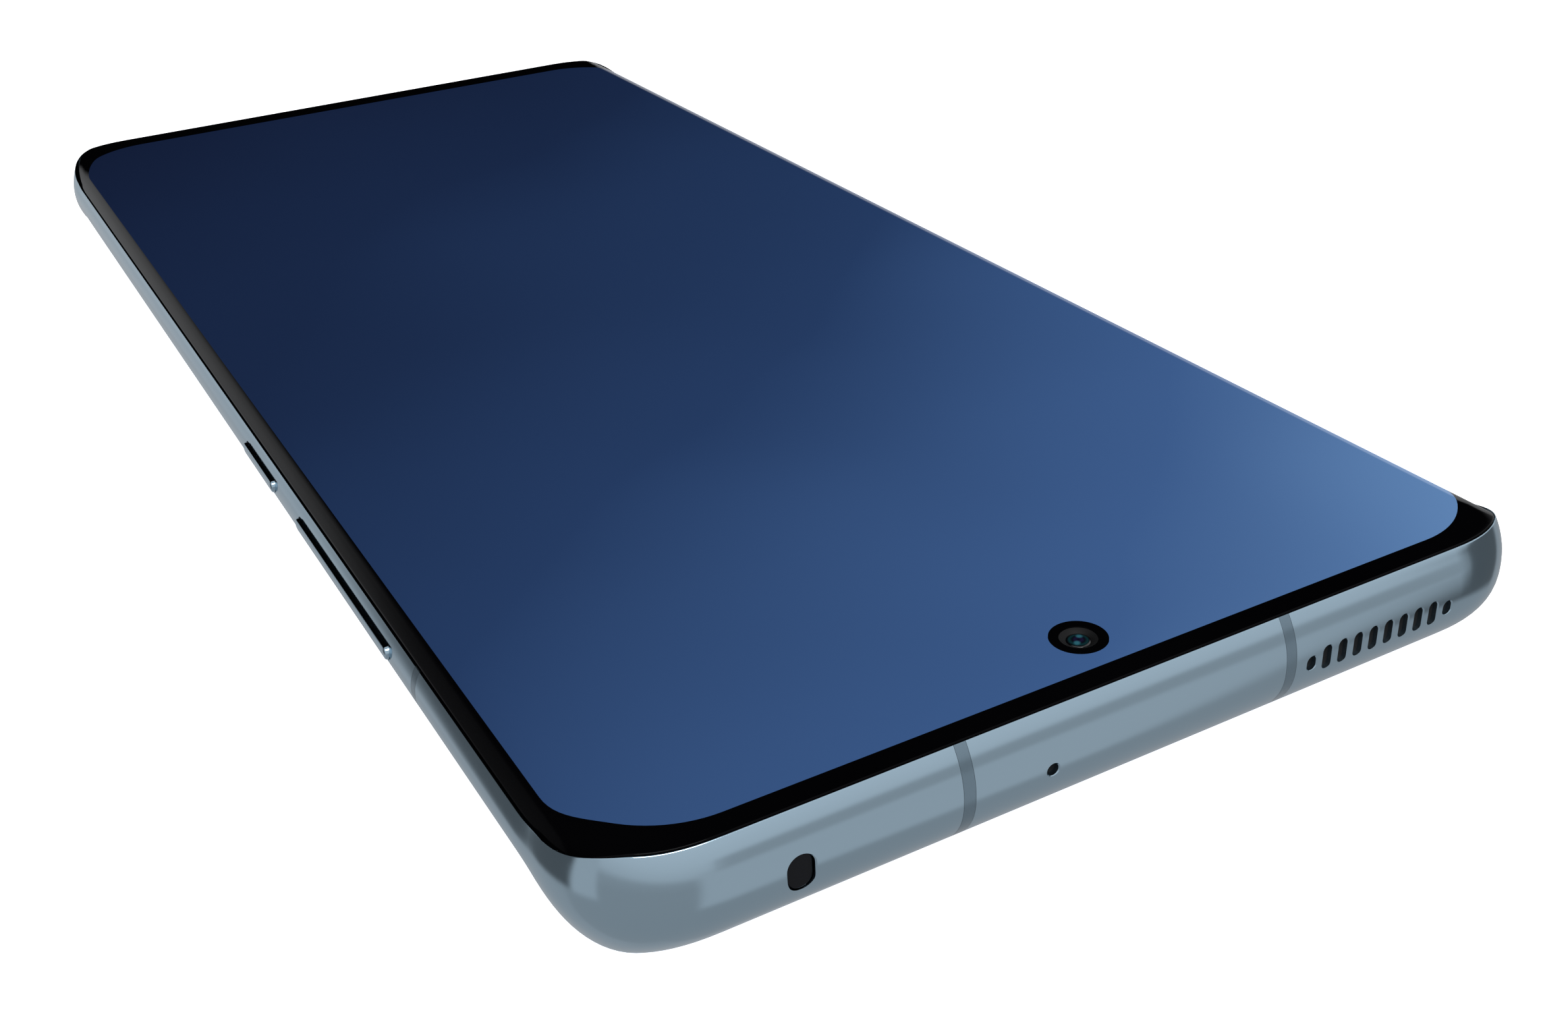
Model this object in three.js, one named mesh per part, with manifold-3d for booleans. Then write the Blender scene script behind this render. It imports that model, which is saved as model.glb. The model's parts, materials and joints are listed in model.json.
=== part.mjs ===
// A smartphone of the 6.7-inch class, as the separate pieces that it is assembled from.
// Millimetres. The origin is the centre of the flat back cover. +Z points out of the screen,
// +Y towards the top end with the front camera, and +X towards the side with the keys.
import * as THREE from "three";
import { mergeVertices } from "three/addons/utils/BufferGeometryUtils.js";
import Module from "manifold-3d";

const wasm = await Module();
wasm.setup();

// Body: overall half sizes, and the height of the screen's face above the back cover's.
const HALF_WIDTH = 37.3;
const HALF_LENGTH = 81.8;
const THICKNESS = 8.16;

// Front glass: bent down along both long sides, flat at both ends.
const GLASS = { flat: 33.39, bend: 3.41, angle: 73, sheet: 0.6, halfWidth: 36.65, halfLength: 80.53 };
GLASS.corner = { radius: 8.2, exponent: 2.6 };
const PANEL = { under: 0.7, sheet: 0.5, angle: 55 };
const PANEL_OUTLINE = { halfWidth: 35.9, halfLength: 78.9, corner: { radius: 8, exponent: 2 } };
const PUNCH_HOLE = { x: 0, y: 75.5, radius: 1.98 };

// Back cover: bent up along both long sides.
const BACK = { flat: 33.3, bend: 3.6, angle: 73, sheet: 0.65, halfWidth: 36.75, halfLength: 79.4 };
BACK.corner = { radius: 7.8, exponent: 2.4 };

// Metal band: its edges follow the two sheets, and its middle bulges out between them.
const BAND = {
  corner: { radius: 8.9, exponent: 2.4 },
  front: { side: 5.75, end: 8.0 },
  middle: { side: 3.9, end: 4.5 },
  back: { side: 2.57, end: 0.2 },
  bulge: 2.2,
  rise: { from: -0.215, over: 0.862 },
  leadIn: 2.8,
};
const WALL = { halfWidth: 35.1, halfLength: 78.63, corner: { radius: 7, exponent: 2.2 } };
const PLATE = { bottom: 5.5, top: 6.1 };
const SEAT_GAP = 0.12;
const SEAT_DEPTH = 1.3;

// Openings along the band's middle line.
const HOLE_Z = 4.25;
const TOP_SPEAKER = { first: -14.68, pitch: -1.4, count: 10, halfWidth: 0.4, halfHeight: 0.93 };
const BOTTOM_SPEAKER = { first: 14.7, pitch: 1.9, count: 6, halfWidth: 0.55, halfHeight: 0.93 };
const TOP_MIC_X = 6.6;
const BOTTOM_MIC_X = -8.2;
const MIC_RADIUS = 0.43;
const EMITTER = { x: 24.4, halfWidth: 0.87, halfHeight: 1.29 };
const BREAK = { x: 12.8, y: 51.8, width: 0.85, endDepth: 2.65, sideDepth: 1.4, clearance: 0.05 };

// USB-C socket, to the standard's shell and tongue.
const USB = { z: 3.9, halfWidth: 4.47, halfHeight: 1.58, wall: 0.3, mouth: -80.9, back: -73.9 };
const TONGUE = { halfWidth: 3.34, thickness: 0.7, front: -79.9, back: -74.35 };

// Card tray, which pulls out of the bottom end.
const TRAY = { x: -22.5, halfWidth: 7.1, bottom: 3.0, top: 4.2, inner: -58.6, headHalfWidth: 8.2 };
TRAY.head = { bottom: 3.0, top: 4.8, thickness: 1.3, inset: 0.25 };
TRAY.bed = { halfWidth: 4.45, low: -76.4, high: -64.1, notch: 1.6, floor: 0.35 };
TRAY.window = { halfWidth: 3.4, low: -75, high: -66 };
TRAY.pinHole = { offset: 6.4, radius: 0.4, depth: 1.5 };

// Keys on the +X side, each a stem with a flange inside the wall.
const KEY = { z: 4.32, halfHeight: 0.52, proud: 0.3, gap: 0.1 };
KEY.flange = { inner: 34.15, outer: 34.65, extra: 0.9 };
KEY.switch = { inner: 32.95, outer: 33.7, halfHeight: 0.65 };
const POWER_KEY = { y: 12.7, halfLength: 4.65, switchHalf: 2.5 };
const VOLUME_KEY = { y: 35.5, halfLength: 11.35, switchHalf: 10.4 };

// Cameras on the back, in a raised island in the +X, +Y corner.
// It stands through an opening in the back cover, with a flange behind the cover.
const ISLAND = { x: 18, y: 56, halfWidth: 14, halfLength: 20, radius: 7, outer: -2.7, wall: 1.6, gap: 0.08 };
ISLAND.rim = 1.1;
ISLAND.plate = { outer: -2.0, inner: -1.3 };
ISLAND.flange = { grow: 1.0, bottom: 0.7, top: 0.9 };
const COVER_LENS = { outer: -2.55, inner: -2.1, inset: 1.25 };
const MAIN_CAMERA = { x: 18, y: 65, half: 7, window: 5.6, bore: 4.9, barrel: 4.5, recess: 2.6 };
const SMALL_CAMERAS = [
  { name: "wide_camera", x: 11.3, y: 49.5, half: 4.7, window: 3.8, barrel: 3.1 },
  { name: "macro_camera", x: 24.8, y: 49.5, half: 4.3, window: 3.2, barrel: 2.5 },
];
const FLASH = { x: 18, y: 40.6, window: 2.3, radius: 1.6 };
const CAMERA_TOP = 5.35;

// Boards, battery and the covers that hold them down.
const BOARD = { bottom: 3.4, top: 4.1, right: 32.4, left: -34.2, low: 31.5 };
const LOW_BOARD = { bottom: 4.75, top: 5.4 };
const MAIN_BOARD_OUTLINE = [
  [BOARD.left, BOARD.low], [BOARD.right, BOARD.low], [BOARD.right, 43.5], [4.5, 43.5],
  [4.5, 71.5], [-10, 71.5], [-10, 66.5], [BOARD.left, 66.5],
];
const LOW_BOARD_OUTLINE = [
  [-29, -77.6], [-5.2, -77.6], [-5.2, -73.2], [5.2, -73.2], [5.2, -77.6], [12.6, -77.6],
  [12.6, -58.4], [-34, -58.4], [-34, -72.6],
];
const PROCESSOR = { left: -27, right: -13, low: 46, high: 60, bottom: 4.15, top: 4.95 };
const PROCESSOR_SHIELD = { left: -32, right: -8.5, low: 43, high: 65.5, bottom: 4.15, top: 5.35 };
const RADIO_SHIELD = { left: -32, right: 3.5, low: 40, high: 65.5, bottom: 1.85, top: 3.35 };
const SHIELD_SHEET = 0.2;
const BRACKET = { bottom: 0.95, top: 1.6 };
const UPPER_BRACKET_OUTLINE = [
  [-33.3, 32.5], [33.3, 32.5], [33.3, 44], [5, 44], [5, 71], [-3.6, 71], [-3.6, 77.6],
  [-11, 77.6], [-11, 67.4], [-33.3, 67.4],
];
const LOWER_BRACKET = { halfWidth: 34.2, low: -77.6, high: -58.4, radius: 6 };
const BATTERY = { halfWidth: 32.5, low: -56, high: 28, bottom: 1.55, top: 5.2 };
const COIL = { y: -10, inner: 11, outer: 22, bottom: 0.75, top: 0.95 };
const COIL_SHIELD = { y: COIL.y, halfWidth: 25, halfLength: 25, radius: 3, bottom: 1.0, top: 1.15 };
const SCREW = { head: 1.3, shank: 0.65, hole: 0.78, bossRadius: 1.5, headTop: 0.78, seat: 1.2, tip: 4.2 };
const UPPER_SCREWS = [[-30.5, 34.8], [30.5, 34.8], [-7, 75.4]];
const LOWER_SCREWS = [[-12.4, -75.4], [9.4, -75.8], [-32.5, -60.2]];
const SPEAKER_BOX = { bottom: 2.0, top: 5.35 };
const TOP_SPEAKER_BOX = { left: -30.2, right: -11.8, low: 68, high: 77.5, radius: 1 };
const BOTTOM_SPEAKER_BOX = { left: 14, right: 33, low: -77.3, high: -58.6, radius: 2.5 };
const SPEAKER_MESH = { inner: 77.8, outer: 78.4, halfHeight: 1.15, margin: 0.9 };
const HEAT_SPREADER = { halfWidth: 26, low: -22, high: 62, radius: 4, bottom: 6.2, top: 6.75 };
const FINGERPRINT = { y: -38, halfWidth: 4, halfLength: 4, radius: 0, bottom: 6.0, top: 6.8, clearance: 0.4 };
const DISPLAY_FLEX = { left: -12, right: 12, section: [
  [-74, 6.5], [-57.2, 6.5], [-57.2, 4.7], [-57.0, 4.7], [-57.0, 6.75], [-74, 6.75],
] };
const FLEX_SLOT = { halfWidth: 12.6, low: -57.75, high: -56.45 };
const LINK_FLEX = { left: 4, right: 9, section: [
  [-60.9, 4.4], [-57.5, 4.4], [-57.5, 1.25], [29.5, 1.25], [29.5, 3.0], [37, 3.0], [37, 3.2],
  [29.3, 3.2], [29.3, 1.4], [-57.3, 1.4], [-57.3, 4.6], [-60.9, 4.6],
] };
const BATTERY_FLEX = { left: -8, right: 2, section: [
  [28.2, 2.7], [37, 2.7], [37, 3.3], [33, 3.3], [33, 2.95], [28.2, 2.95],
] };
const READER = { margin: 0.5, low: -77.4, high: -58, bottom: 2.55, top: 4.65, side: 0.3, sheet: 0.25 };
const MOTOR = { x: 2, y: -65, halfLength: 9, halfWidth: 3.9, bottom: 2.1, top: 4.65, wall: 0.3 };
MOTOR.mass = { x: MOTOR.x, y: MOTOR.y, halfWidth: 7.2, halfLength: 3.2, radius: 0.8, bottom: 2.7, top: 4.3 };

const CORNER_STEPS = 7;
const ROUND_STEPS = 12;

// --- Shapes in a plane -------------------------------------------------------------------

// The points of a superellipse corner arc that runs from the long side (0) to the end (1).
function cornerArc(radius, exponent) {
  const points = [];
  for (let i = 0; i <= CORNER_STEPS; i++) {
    const turn = i / CORNER_STEPS;
    const angle = (turn * Math.PI) / 2;
    points.push({
      turn,
      x: radius * Math.cos(angle) ** (2 / exponent),
      y: radius * Math.sin(angle) ** (2 / exponent),
    });
  }
  return points;
}

// A rounded outline, counter-clockwise, as stations {x, y, turn}. turn runs from below 0 on a
// long side, where the edges start to rise, to 1 on an end.
function outline({ halfWidth, halfLength, corner }, grow = 0) {
  const radius = corner.radius + grow;
  const arc = cornerArc(radius, corner.exponent);
  const lead = (2 * BAND.leadIn) / (Math.PI * radius);
  const quarter = [{ turn: -lead, x: radius, y: -BAND.leadIn }, ...arc];
  const cx = halfWidth + grow - radius;
  const cy = halfLength + grow - radius;
  const stations = [];
  for (const [sx, sy, backwards] of [[1, 1, false], [-1, 1, true], [-1, -1, false], [1, -1, true]]) {
    const run = quarter.map((p) => ({ turn: p.turn, x: sx * (cx + p.x), y: sy * (cy + p.y) }));
    stations.push(...(backwards ? run.reverse() : run));
  }
  return stations;
}

// A rectangle with round corners, or with none where the radius is 0.
function plainRectangle(x0, x1, y0, y1, radius = 0) {
  const shape = new THREE.Shape();
  if (radius === 0) {
    return shape.moveTo(x0, y0).lineTo(x1, y0).lineTo(x1, y1).lineTo(x0, y1).closePath();
  }
  shape.absarc(x1 - radius, y1 - radius, radius, 0, Math.PI / 2, false);
  shape.absarc(x0 + radius, y1 - radius, radius, Math.PI / 2, Math.PI, false);
  shape.absarc(x0 + radius, y0 + radius, radius, Math.PI, 1.5 * Math.PI, false);
  shape.absarc(x1 - radius, y0 + radius, radius, 1.5 * Math.PI, 2 * Math.PI, false);
  return shape.closePath();
}

function polygon(points) {
  return new THREE.Shape(points.map(([x, y]) => new THREE.Vector2(x, y)));
}

// The section of a sheet that is flat in the middle and bent at both sides. facing is +1 for
// the front glass, which bends down from faceZ, and -1 for the back cover, which bends up.
function bentSheet({ flat, bend, angle }, faceZ, facing, under, thickness) {
  const centreZ = faceZ - facing * bend;
  const steps = 8;
  const side = (radius) => {
    const points = [];
    for (let i = 0; i <= steps; i++) {
      const a = THREE.MathUtils.degToRad((angle * i) / steps);
      points.push([flat + radius * Math.sin(a), centreZ + facing * radius * Math.cos(a)]);
    }
    return points;
  };
  const outer = side(bend - under);
  const inner = side(bend - under - thickness);
  const mirror = (points) => points.map(([x, z]) => [-x, z]);
  return polygon([...mirror(outer).toReversed(), ...outer, ...inner.toReversed(), ...mirror(inner)]);
}

// The section of the space that a bent sheet needs: all that is outside its seat.
function seatSpace({ flat, bend, angle }, faceZ, facing, depth) {
  const centreZ = faceZ - facing * bend;
  const far = faceZ + facing * 3;
  const steps = 8;
  const points = [];
  for (let i = 0; i <= steps; i++) {
    const a = THREE.MathUtils.degToRad((angle * i) / steps);
    const radius = bend - depth;
    points.push([flat + radius * Math.sin(a), centreZ + facing * radius * Math.cos(a)]);
  }
  const a = THREE.MathUtils.degToRad(angle);
  const reach = bend + 1.5;
  const drop = facing * SEAT_GAP;
  points[steps][1] -= drop;
  points.push([flat + reach * Math.sin(a), centreZ + facing * reach * Math.cos(a) - drop]);
  points.push([flat + reach * Math.sin(a), far]);
  return polygon([...points.map(([x, z]) => [-x, z]).toReversed(), ...points]);
}

// --- Solids ------------------------------------------------------------------------------

// A shape in X and Y, extruded from one height to another.
function prism(shape, z0, z1, curveSegments = ROUND_STEPS) {
  const geometry = new THREE.ExtrudeGeometry(shape, { depth: z1 - z0, bevelEnabled: false, curveSegments });
  return geometry.translate(0, 0, z0);
}

function box(x0, x1, y0, y1, z0, z1) {
  const block = new THREE.BoxGeometry(x1 - x0, y1 - y0, z1 - z0);
  return block.translate((x0 + x1) / 2, (y0 + y1) / 2, (z0 + z1) / 2);
}

// A shape in X and Z, extruded along Y.
function alongY(shape, y0, y1, curveSegments = ROUND_STEPS) {
  const geometry = new THREE.ExtrudeGeometry(shape, { depth: y1 - y0, bevelEnabled: false, curveSegments });
  return geometry.rotateX(Math.PI / 2).translate(0, y1, 0);
}

// A shape in Y and Z, extruded along X.
function alongX(shape, x0, x1, curveSegments = ROUND_STEPS) {
  const geometry = new THREE.ExtrudeGeometry(shape, { depth: x1 - x0, bevelEnabled: false, curveSegments });
  return geometry.rotateX(Math.PI / 2).rotateZ(Math.PI / 2).translate(x0, 0, 0);
}

function disc(x, y, radius, z0, z1, segments = 18) {
  const geometry = new THREE.CylinderGeometry(radius, radius, z1 - z0, segments);
  return geometry.rotateX(Math.PI / 2).translate(x, y, (z0 + z1) / 2);
}

// A slot with round ends, upright or lying, in the plane that it is extruded from.
function slotShape(x, z, halfWidth, halfHeight) {
  const radius = Math.min(halfWidth, halfHeight);
  return plainRectangle(x - halfWidth, x + halfWidth, z - halfHeight, z + halfHeight, radius * 0.999);
}

function outlinePrism(stations, z0, z1) {
  return prism(polygon(stations.map((p) => [p.x, p.y])), z0, z1);
}

function toSolid(geometry) {
  const bare = new THREE.BufferGeometry();
  bare.setAttribute("position", geometry.getAttribute("position"));
  bare.setIndex(geometry.getIndex());
  const merged = mergeVertices(bare, 1e-4);
  const mesh = new wasm.Mesh({
    numProp: 3,
    vertProperties: new Float32Array(merged.attributes.position.array),
    triVerts: new Uint32Array(merged.index.array),
  });
  return new wasm.Manifold(mesh);
}

function toGeometry(solid) {
  const mesh = solid.getMesh();
  const geometry = new THREE.BufferGeometry();
  geometry.setAttribute("position", new THREE.BufferAttribute(mesh.vertProperties, 3));
  geometry.setIndex(new THREE.BufferAttribute(mesh.triVerts, 1));
  return geometry.toNonIndexed();
}

function cut(geometry, ...tools) {
  return toGeometry(tools.reduce((solid, tool) => solid.subtract(toSolid(tool)), toSolid(geometry)));
}

function join(geometry, ...others) {
  return toGeometry(others.reduce((solid, other) => solid.add(toSolid(other)), toSolid(geometry)));
}

function common(geometry, other) {
  return toGeometry(toSolid(geometry).intersect(toSolid(other)));
}

// A closed ring of metal from rings of equally many points, joined in turn and back to the first.
function loopLoft(rings) {
  const count = rings[0].length;
  const position = rings.flat().flatMap((p) => [p.x, p.y, p.z]);
  const index = [];
  for (let r = 0; r < rings.length; r++) {
    const next = (r + 1) % rings.length;
    for (let i = 0; i < count; i++) {
      const j = (i + 1) % count;
      const [a, b, c, d] = [r * count + i, r * count + j, next * count + j, next * count + i];
      index.push(a, b, c, a, c, d);
    }
  }
  const geometry = new THREE.BufferGeometry();
  geometry.setAttribute("position", new THREE.Float32BufferAttribute(position, 3));
  geometry.setIndex(index);
  return geometry;
}

// --- The metal band ----------------------------------------------------------------------

// A height that is one value along the sides and another along the ends.
function riseAt(turn, { side, end }) {
  const u = THREE.MathUtils.clamp((turn - BAND.rise.from) / BAND.rise.over, 0, 1);
  return side + (end - side) * u * u * (3 - 2 * u);
}

// The band without its openings: outer rings from the back edge to the front edge, then the wall.
function bandLoft() {
  const middle = outline({ halfWidth: HALF_WIDTH, halfLength: HALF_LENGTH, corner: BAND.corner });
  const front = outline(GLASS, SEAT_GAP);
  const back = outline(BACK, SEAT_GAP);
  const wall = outline(WALL);
  const rings = [];
  for (const t of [-1, -0.85, -0.5, 0, 0.5, 0.85, 1]) {
    const edge = t > 0 ? front : back;
    const heights = t > 0 ? BAND.front : BAND.back;
    const out = 1 - Math.abs(t) ** BAND.bulge;
    rings.push(middle.map((m, i) => {
      const centre = riseAt(m.turn, BAND.middle);
      const x = edge[i].x + (m.x - edge[i].x) * out;
      const y = edge[i].y + (m.y - edge[i].y) * out;
      return { x, y, z: centre + (riseAt(m.turn, heights) - centre) * Math.abs(t) };
    }));
  }
  for (const heights of [BAND.front, BAND.back]) {
    rings.push(wall.map((p) => ({ x: p.x, y: p.y, z: riseAt(p.turn, heights) })));
  }
  return loopLoft(rings);
}

// The openings of one speaker grille: round at both ends of the row, and slots between them.
function grille({ first, pitch, count, halfWidth, halfHeight }, y0, y1) {
  const openings = [];
  for (let i = 0; i < count; i++) {
    const isEnd = i === 0 || i === count - 1;
    const shape = slotShape(first + pitch * i, HOLE_Z, halfWidth, isEnd ? halfWidth : halfHeight);
    openings.push(alongY(shape, y0, y1, 2));
  }
  return openings;
}

// The slabs that divide the band where the aerials break it, each wide by the given clearance.
function breakSlabs(clearance) {
  const half = BREAK.width / 2 + clearance;
  const endInside = HALF_LENGTH - BREAK.endDepth - clearance;
  const sideInside = HALF_WIDTH - BREAK.sideDepth - clearance;
  const slabs = {};
  for (const [end, sy] of [["top", 1], ["bottom", -1]]) {
    for (const [side, sx] of [["right", 1], ["left", -1]]) {
      const x = sx * BREAK.x;
      const ys = [sy * endInside, sy * (HALF_LENGTH + 1)].sort((a, b) => a - b);
      slabs[`aerial_break_${end}_${side}`] = box(x - half, x + half, ys[0], ys[1], -1, THICKNESS + 1);
    }
  }
  for (const [side, sx] of [["right", 1], ["left", -1]]) {
    const xs = [sx * sideInside, sx * (HALF_WIDTH + 1)].sort((a, b) => a - b);
    slabs[`aerial_break_${side}_side`] = box(xs[0], xs[1], BREAK.y - half, BREAK.y + half, -1, THICKNESS + 1);
  }
  return slabs;
}

const glassSeat = common(
  alongY(seatSpace(GLASS, THICKNESS, 1, SEAT_DEPTH), -HALF_LENGTH, HALF_LENGTH),
  outlinePrism(outline(GLASS, SEAT_GAP), 0, THICKNESS + 5),
);
const backSeat = common(
  alongY(seatSpace(BACK, 0, -1, BACK.sheet + SEAT_GAP), -HALF_LENGTH, HALF_LENGTH),
  outlinePrism(outline(BACK, SEAT_GAP), -5, THICKNESS),
);
const bandBlank = cut(bandLoft(), glassSeat, backSeat);

// What the band's openings take away, at the top end, at the bottom end and on the +X side.
function bandOpenings() {
  const wallInside = WALL.halfLength - 2;
  const outside = HALF_LENGTH + 1;
  const { x, headHalfWidth } = TRAY;
  const { middle, half } = trayHead();
  const tray = slotShape(x, middle, headHalfWidth + KEY.gap, half + KEY.gap);
  const emitter = slotShape(EMITTER.x, HOLE_Z, EMITTER.halfWidth + 0.1, EMITTER.halfHeight + 0.1);
  const usb = slotShape(0, USB.z, USB.halfWidth + 0.15, USB.halfHeight + 0.15);
  const keySlots = [POWER_KEY, VOLUME_KEY].map(({ y, halfLength }) => {
    const slot = slotShape(y, KEY.z, halfLength + KEY.gap, KEY.halfHeight + KEY.gap);
    return alongX(slot, WALL.halfWidth - 1, HALF_WIDTH + 1, 3);
  });
  return [
    ...keySlots,
    ...grille(TOP_SPEAKER, wallInside, outside),
    ...grille(BOTTOM_SPEAKER, -outside, -wallInside),
    alongY(slotShape(TOP_MIC_X, HOLE_Z, MIC_RADIUS, MIC_RADIUS), wallInside, outside, 2),
    alongY(slotShape(BOTTOM_MIC_X, HOLE_Z, MIC_RADIUS, MIC_RADIUS), -outside, -wallInside, 2),
    alongY(emitter, wallInside, outside, 3),
    alongY(usb, -outside, -wallInside, 4),
    alongY(tray, -outside, -wallInside, 4),
  ];
}

// What the middle plate's openings take away: front camera, fingerprint sensor, display cable.
function plateOpenings() {
  const { halfWidth, y, clearance } = FINGERPRINT;
  const reach = halfWidth + clearance;
  return [
    disc(PUNCH_HOLE.x, PUNCH_HOLE.y, 2.4, 5, 7, 14),
    box(-reach, reach, y - reach, y + reach, 5, 7),
    box(-FLEX_SLOT.halfWidth, FLEX_SLOT.halfWidth, FLEX_SLOT.low, FLEX_SLOT.high, 5, 7),
  ];
}

function makeFrame() {
  const plate = outlinePrism(outline(WALL, 0.6), PLATE.bottom, PLATE.top);
  const screws = [...UPPER_SCREWS, ...LOWER_SCREWS];
  const bosses = screws.map(([x, y]) =>
    disc(x, y, SCREW.bossRadius, BRACKET.top + 0.1, PLATE.bottom + 0.2, 10));
  const blank = cut(join(bandBlank, plate, ...bosses), glassSeat);
  const screwHoles = screws.map(([x, y]) => disc(x, y, SCREW.hole, 0, 4.6, 8));
  const breaks = Object.values(breakSlabs(BREAK.clearance));
  return cut(blank, ...screwHoles, ...breaks, ...bandOpenings(), ...plateOpenings());
}

// --- Other pieces ------------------------------------------------------------------------

function makeGlass() {
  const sheet = alongY(bentSheet(GLASS, THICKNESS, 1, 0, GLASS.sheet), -HALF_LENGTH, HALF_LENGTH);
  return common(sheet, outlinePrism(outline(GLASS), 0, THICKNESS + 1));
}

function makePanel() {
  const section = bentSheet({ ...GLASS, angle: PANEL.angle }, THICKNESS, 1, PANEL.under, PANEL.sheet);
  const strip = alongY(section, -HALF_LENGTH, HALF_LENGTH);
  const sheet = common(strip, outlinePrism(outline(PANEL_OUTLINE), 0, 10));
  return cut(sheet, disc(PUNCH_HOLE.x, PUNCH_HOLE.y, PUNCH_HOLE.radius + 0.1, 0, 10));
}

function makeBackCover() {
  const sheet = alongY(bentSheet(BACK, 0, -1, 0, BACK.sheet), -HALF_LENGTH, HALF_LENGTH);
  const opening = prism(islandShape(-ISLAND.gap), -1, 1, 6);
  return cut(common(sheet, outlinePrism(outline(BACK), -1, THICKNESS)), opening);
}

// The camera island's outline, drawn in by an inset.
function islandShape(inset) {
  const { x, y, halfWidth, halfLength, radius } = ISLAND;
  const [w, l] = [halfWidth - inset, halfLength - inset];
  return plainRectangle(x - w, x + w, y - l, y + l, radius - inset);
}

function makeIsland() {
  const { outer, wall, rim, plate, flange } = ISLAND;
  const block = prism(islandShape(0), outer, flange.top, 6);
  const lip = prism(islandShape(-flange.grow), flange.bottom, flange.top, 6);
  const recess = prism(islandShape(rim), outer - 1, plate.outer, 6);
  const underside = prism(islandShape(wall), plate.inner, flange.top + 1, 6);
  const windows = [MAIN_CAMERA, ...SMALL_CAMERAS, FLASH].map((c) =>
    disc(c.x, c.y, c.window, outer - 1, flange.top + 1));
  return cut(join(block, lip), recess, underside, ...windows);
}

function makeCameraGlass() {
  return prism(islandShape(COVER_LENS.inset), COVER_LENS.outer, COVER_LENS.inner, 6);
}

// A camera module's housing, with a bore that its lens barrel stands in.
function makeMainCamera() {
  const { x, y, half, bore } = MAIN_CAMERA;
  const housing = prism(plainRectangle(x - half, x + half, y - half, y + half, 1), -1.0, CAMERA_TOP, 3);
  return cut(housing, disc(x, y, bore, -2, 3.2));
}

function makeMainLens() {
  const { x, y, barrel, recess } = MAIN_CAMERA;
  return cut(disc(x, y, barrel, -1.1, 2.9), disc(x, y, recess, -2, -0.5));
}

function makeSmallCamera({ x, y, half, barrel }) {
  const shape = plainRectangle(x - half, x + half, y - half, y + half, 0.8);
  const housing = prism(shape, 0.2, CAMERA_TOP - 0.6, 3);
  return cut(join(housing, disc(x, y, barrel, -1.7, 1)), disc(x, y, barrel * 0.55, -3, -1.1));
}

function makeFrontCamera() {
  const { x, y } = PUNCH_HOLE;
  const housing = prism(plainRectangle(x - 2.7, x + 2.7, y - 2.7, y + 2.7, 0.6), 3.4, 5.3, 3);
  return cut(join(housing, disc(x, y, 1.7, 5, 7.35)), disc(x, y, 1.2, 6.9, 8));
}

// A screen can over chips: a tray of sheet metal, open on the side that meets the board.
function shieldCan({ left, right, low, high, bottom, top }, openUp) {
  const sheet = SHIELD_SHEET;
  const inner = openUp ? [bottom + sheet, top + 1] : [bottom - 1, top - sheet];
  const hollow = box(left + sheet, right - sheet, low + sheet, high - sheet, ...inner);
  return cut(box(left, right, low, high, bottom, top), hollow);
}

function bossHoles(points, radius) {
  return points.map(([x, y]) => disc(x, y, radius, -5, 10, 14));
}

function makeMainBoard() {
  const board = prism(polygon(MAIN_BOARD_OUTLINE), BOARD.bottom, BOARD.top);
  return cut(board, ...bossHoles(UPPER_SCREWS, SCREW.bossRadius + 0.2));
}

function makeUpperBracket() {
  const flashHole = disc(FLASH.x, FLASH.y, FLASH.radius + 0.3, 0, 3);
  return bracketWithScrewSeats(polygon(UPPER_BRACKET_OUTLINE), UPPER_SCREWS, [flashHole]);
}

function makeLowerBracket() {
  const { halfWidth, low, high, radius } = LOWER_BRACKET;
  return bracketWithScrewSeats(plainRectangle(-halfWidth, halfWidth, low, high, radius), LOWER_SCREWS, []);
}

function bracketWithScrewSeats(shape, screws, others) {
  const through = screws.map(([x, y]) => disc(x, y, SCREW.hole, 0, 3, 10));
  const seats = screws.map(([x, y]) => disc(x, y, SCREW.head + 0.15, 0, SCREW.seat, 14));
  return cut(prism(shape, BRACKET.bottom, BRACKET.top, 3), ...through, ...seats, ...others);
}

function makeLowBoard() {
  const board = prism(polygon(LOW_BOARD_OUTLINE), LOW_BOARD.bottom, LOW_BOARD.top);
  return cut(board, ...bossHoles(LOWER_SCREWS, SCREW.bossRadius + 0.2));
}

function makeScrew([x, y]) {
  const { head, shank, headTop, seat, tip } = SCREW;
  const profile = [
    [0, headTop], [head * 0.8, headTop], [head, headTop + 0.12], [head, seat - 0.05],
    [shank, seat - 0.05], [shank, tip - 0.3], [shank * 0.5, tip], [0, tip],
  ];
  const lathe = new THREE.LatheGeometry(profile.map(([r, z]) => new THREE.Vector2(r, z)), 10);
  return lathe.rotateX(Math.PI / 2).translate(x, y, 0);
}

function makeUsbShell() {
  const { z, halfWidth, halfHeight, wall, mouth, back } = USB;
  const outer = alongY(slotShape(0, z, halfWidth, halfHeight), mouth, back, 5);
  const inner = alongY(slotShape(0, z, halfWidth - wall, halfHeight - wall), mouth - 1, back - wall, 5);
  return cut(outer, inner);
}

// The middle height and half height of the card tray's outer face.
function trayHead() {
  const { bottom, top } = TRAY.head;
  return { middle: (bottom + top) / 2, half: (top - bottom) / 2 };
}

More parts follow.
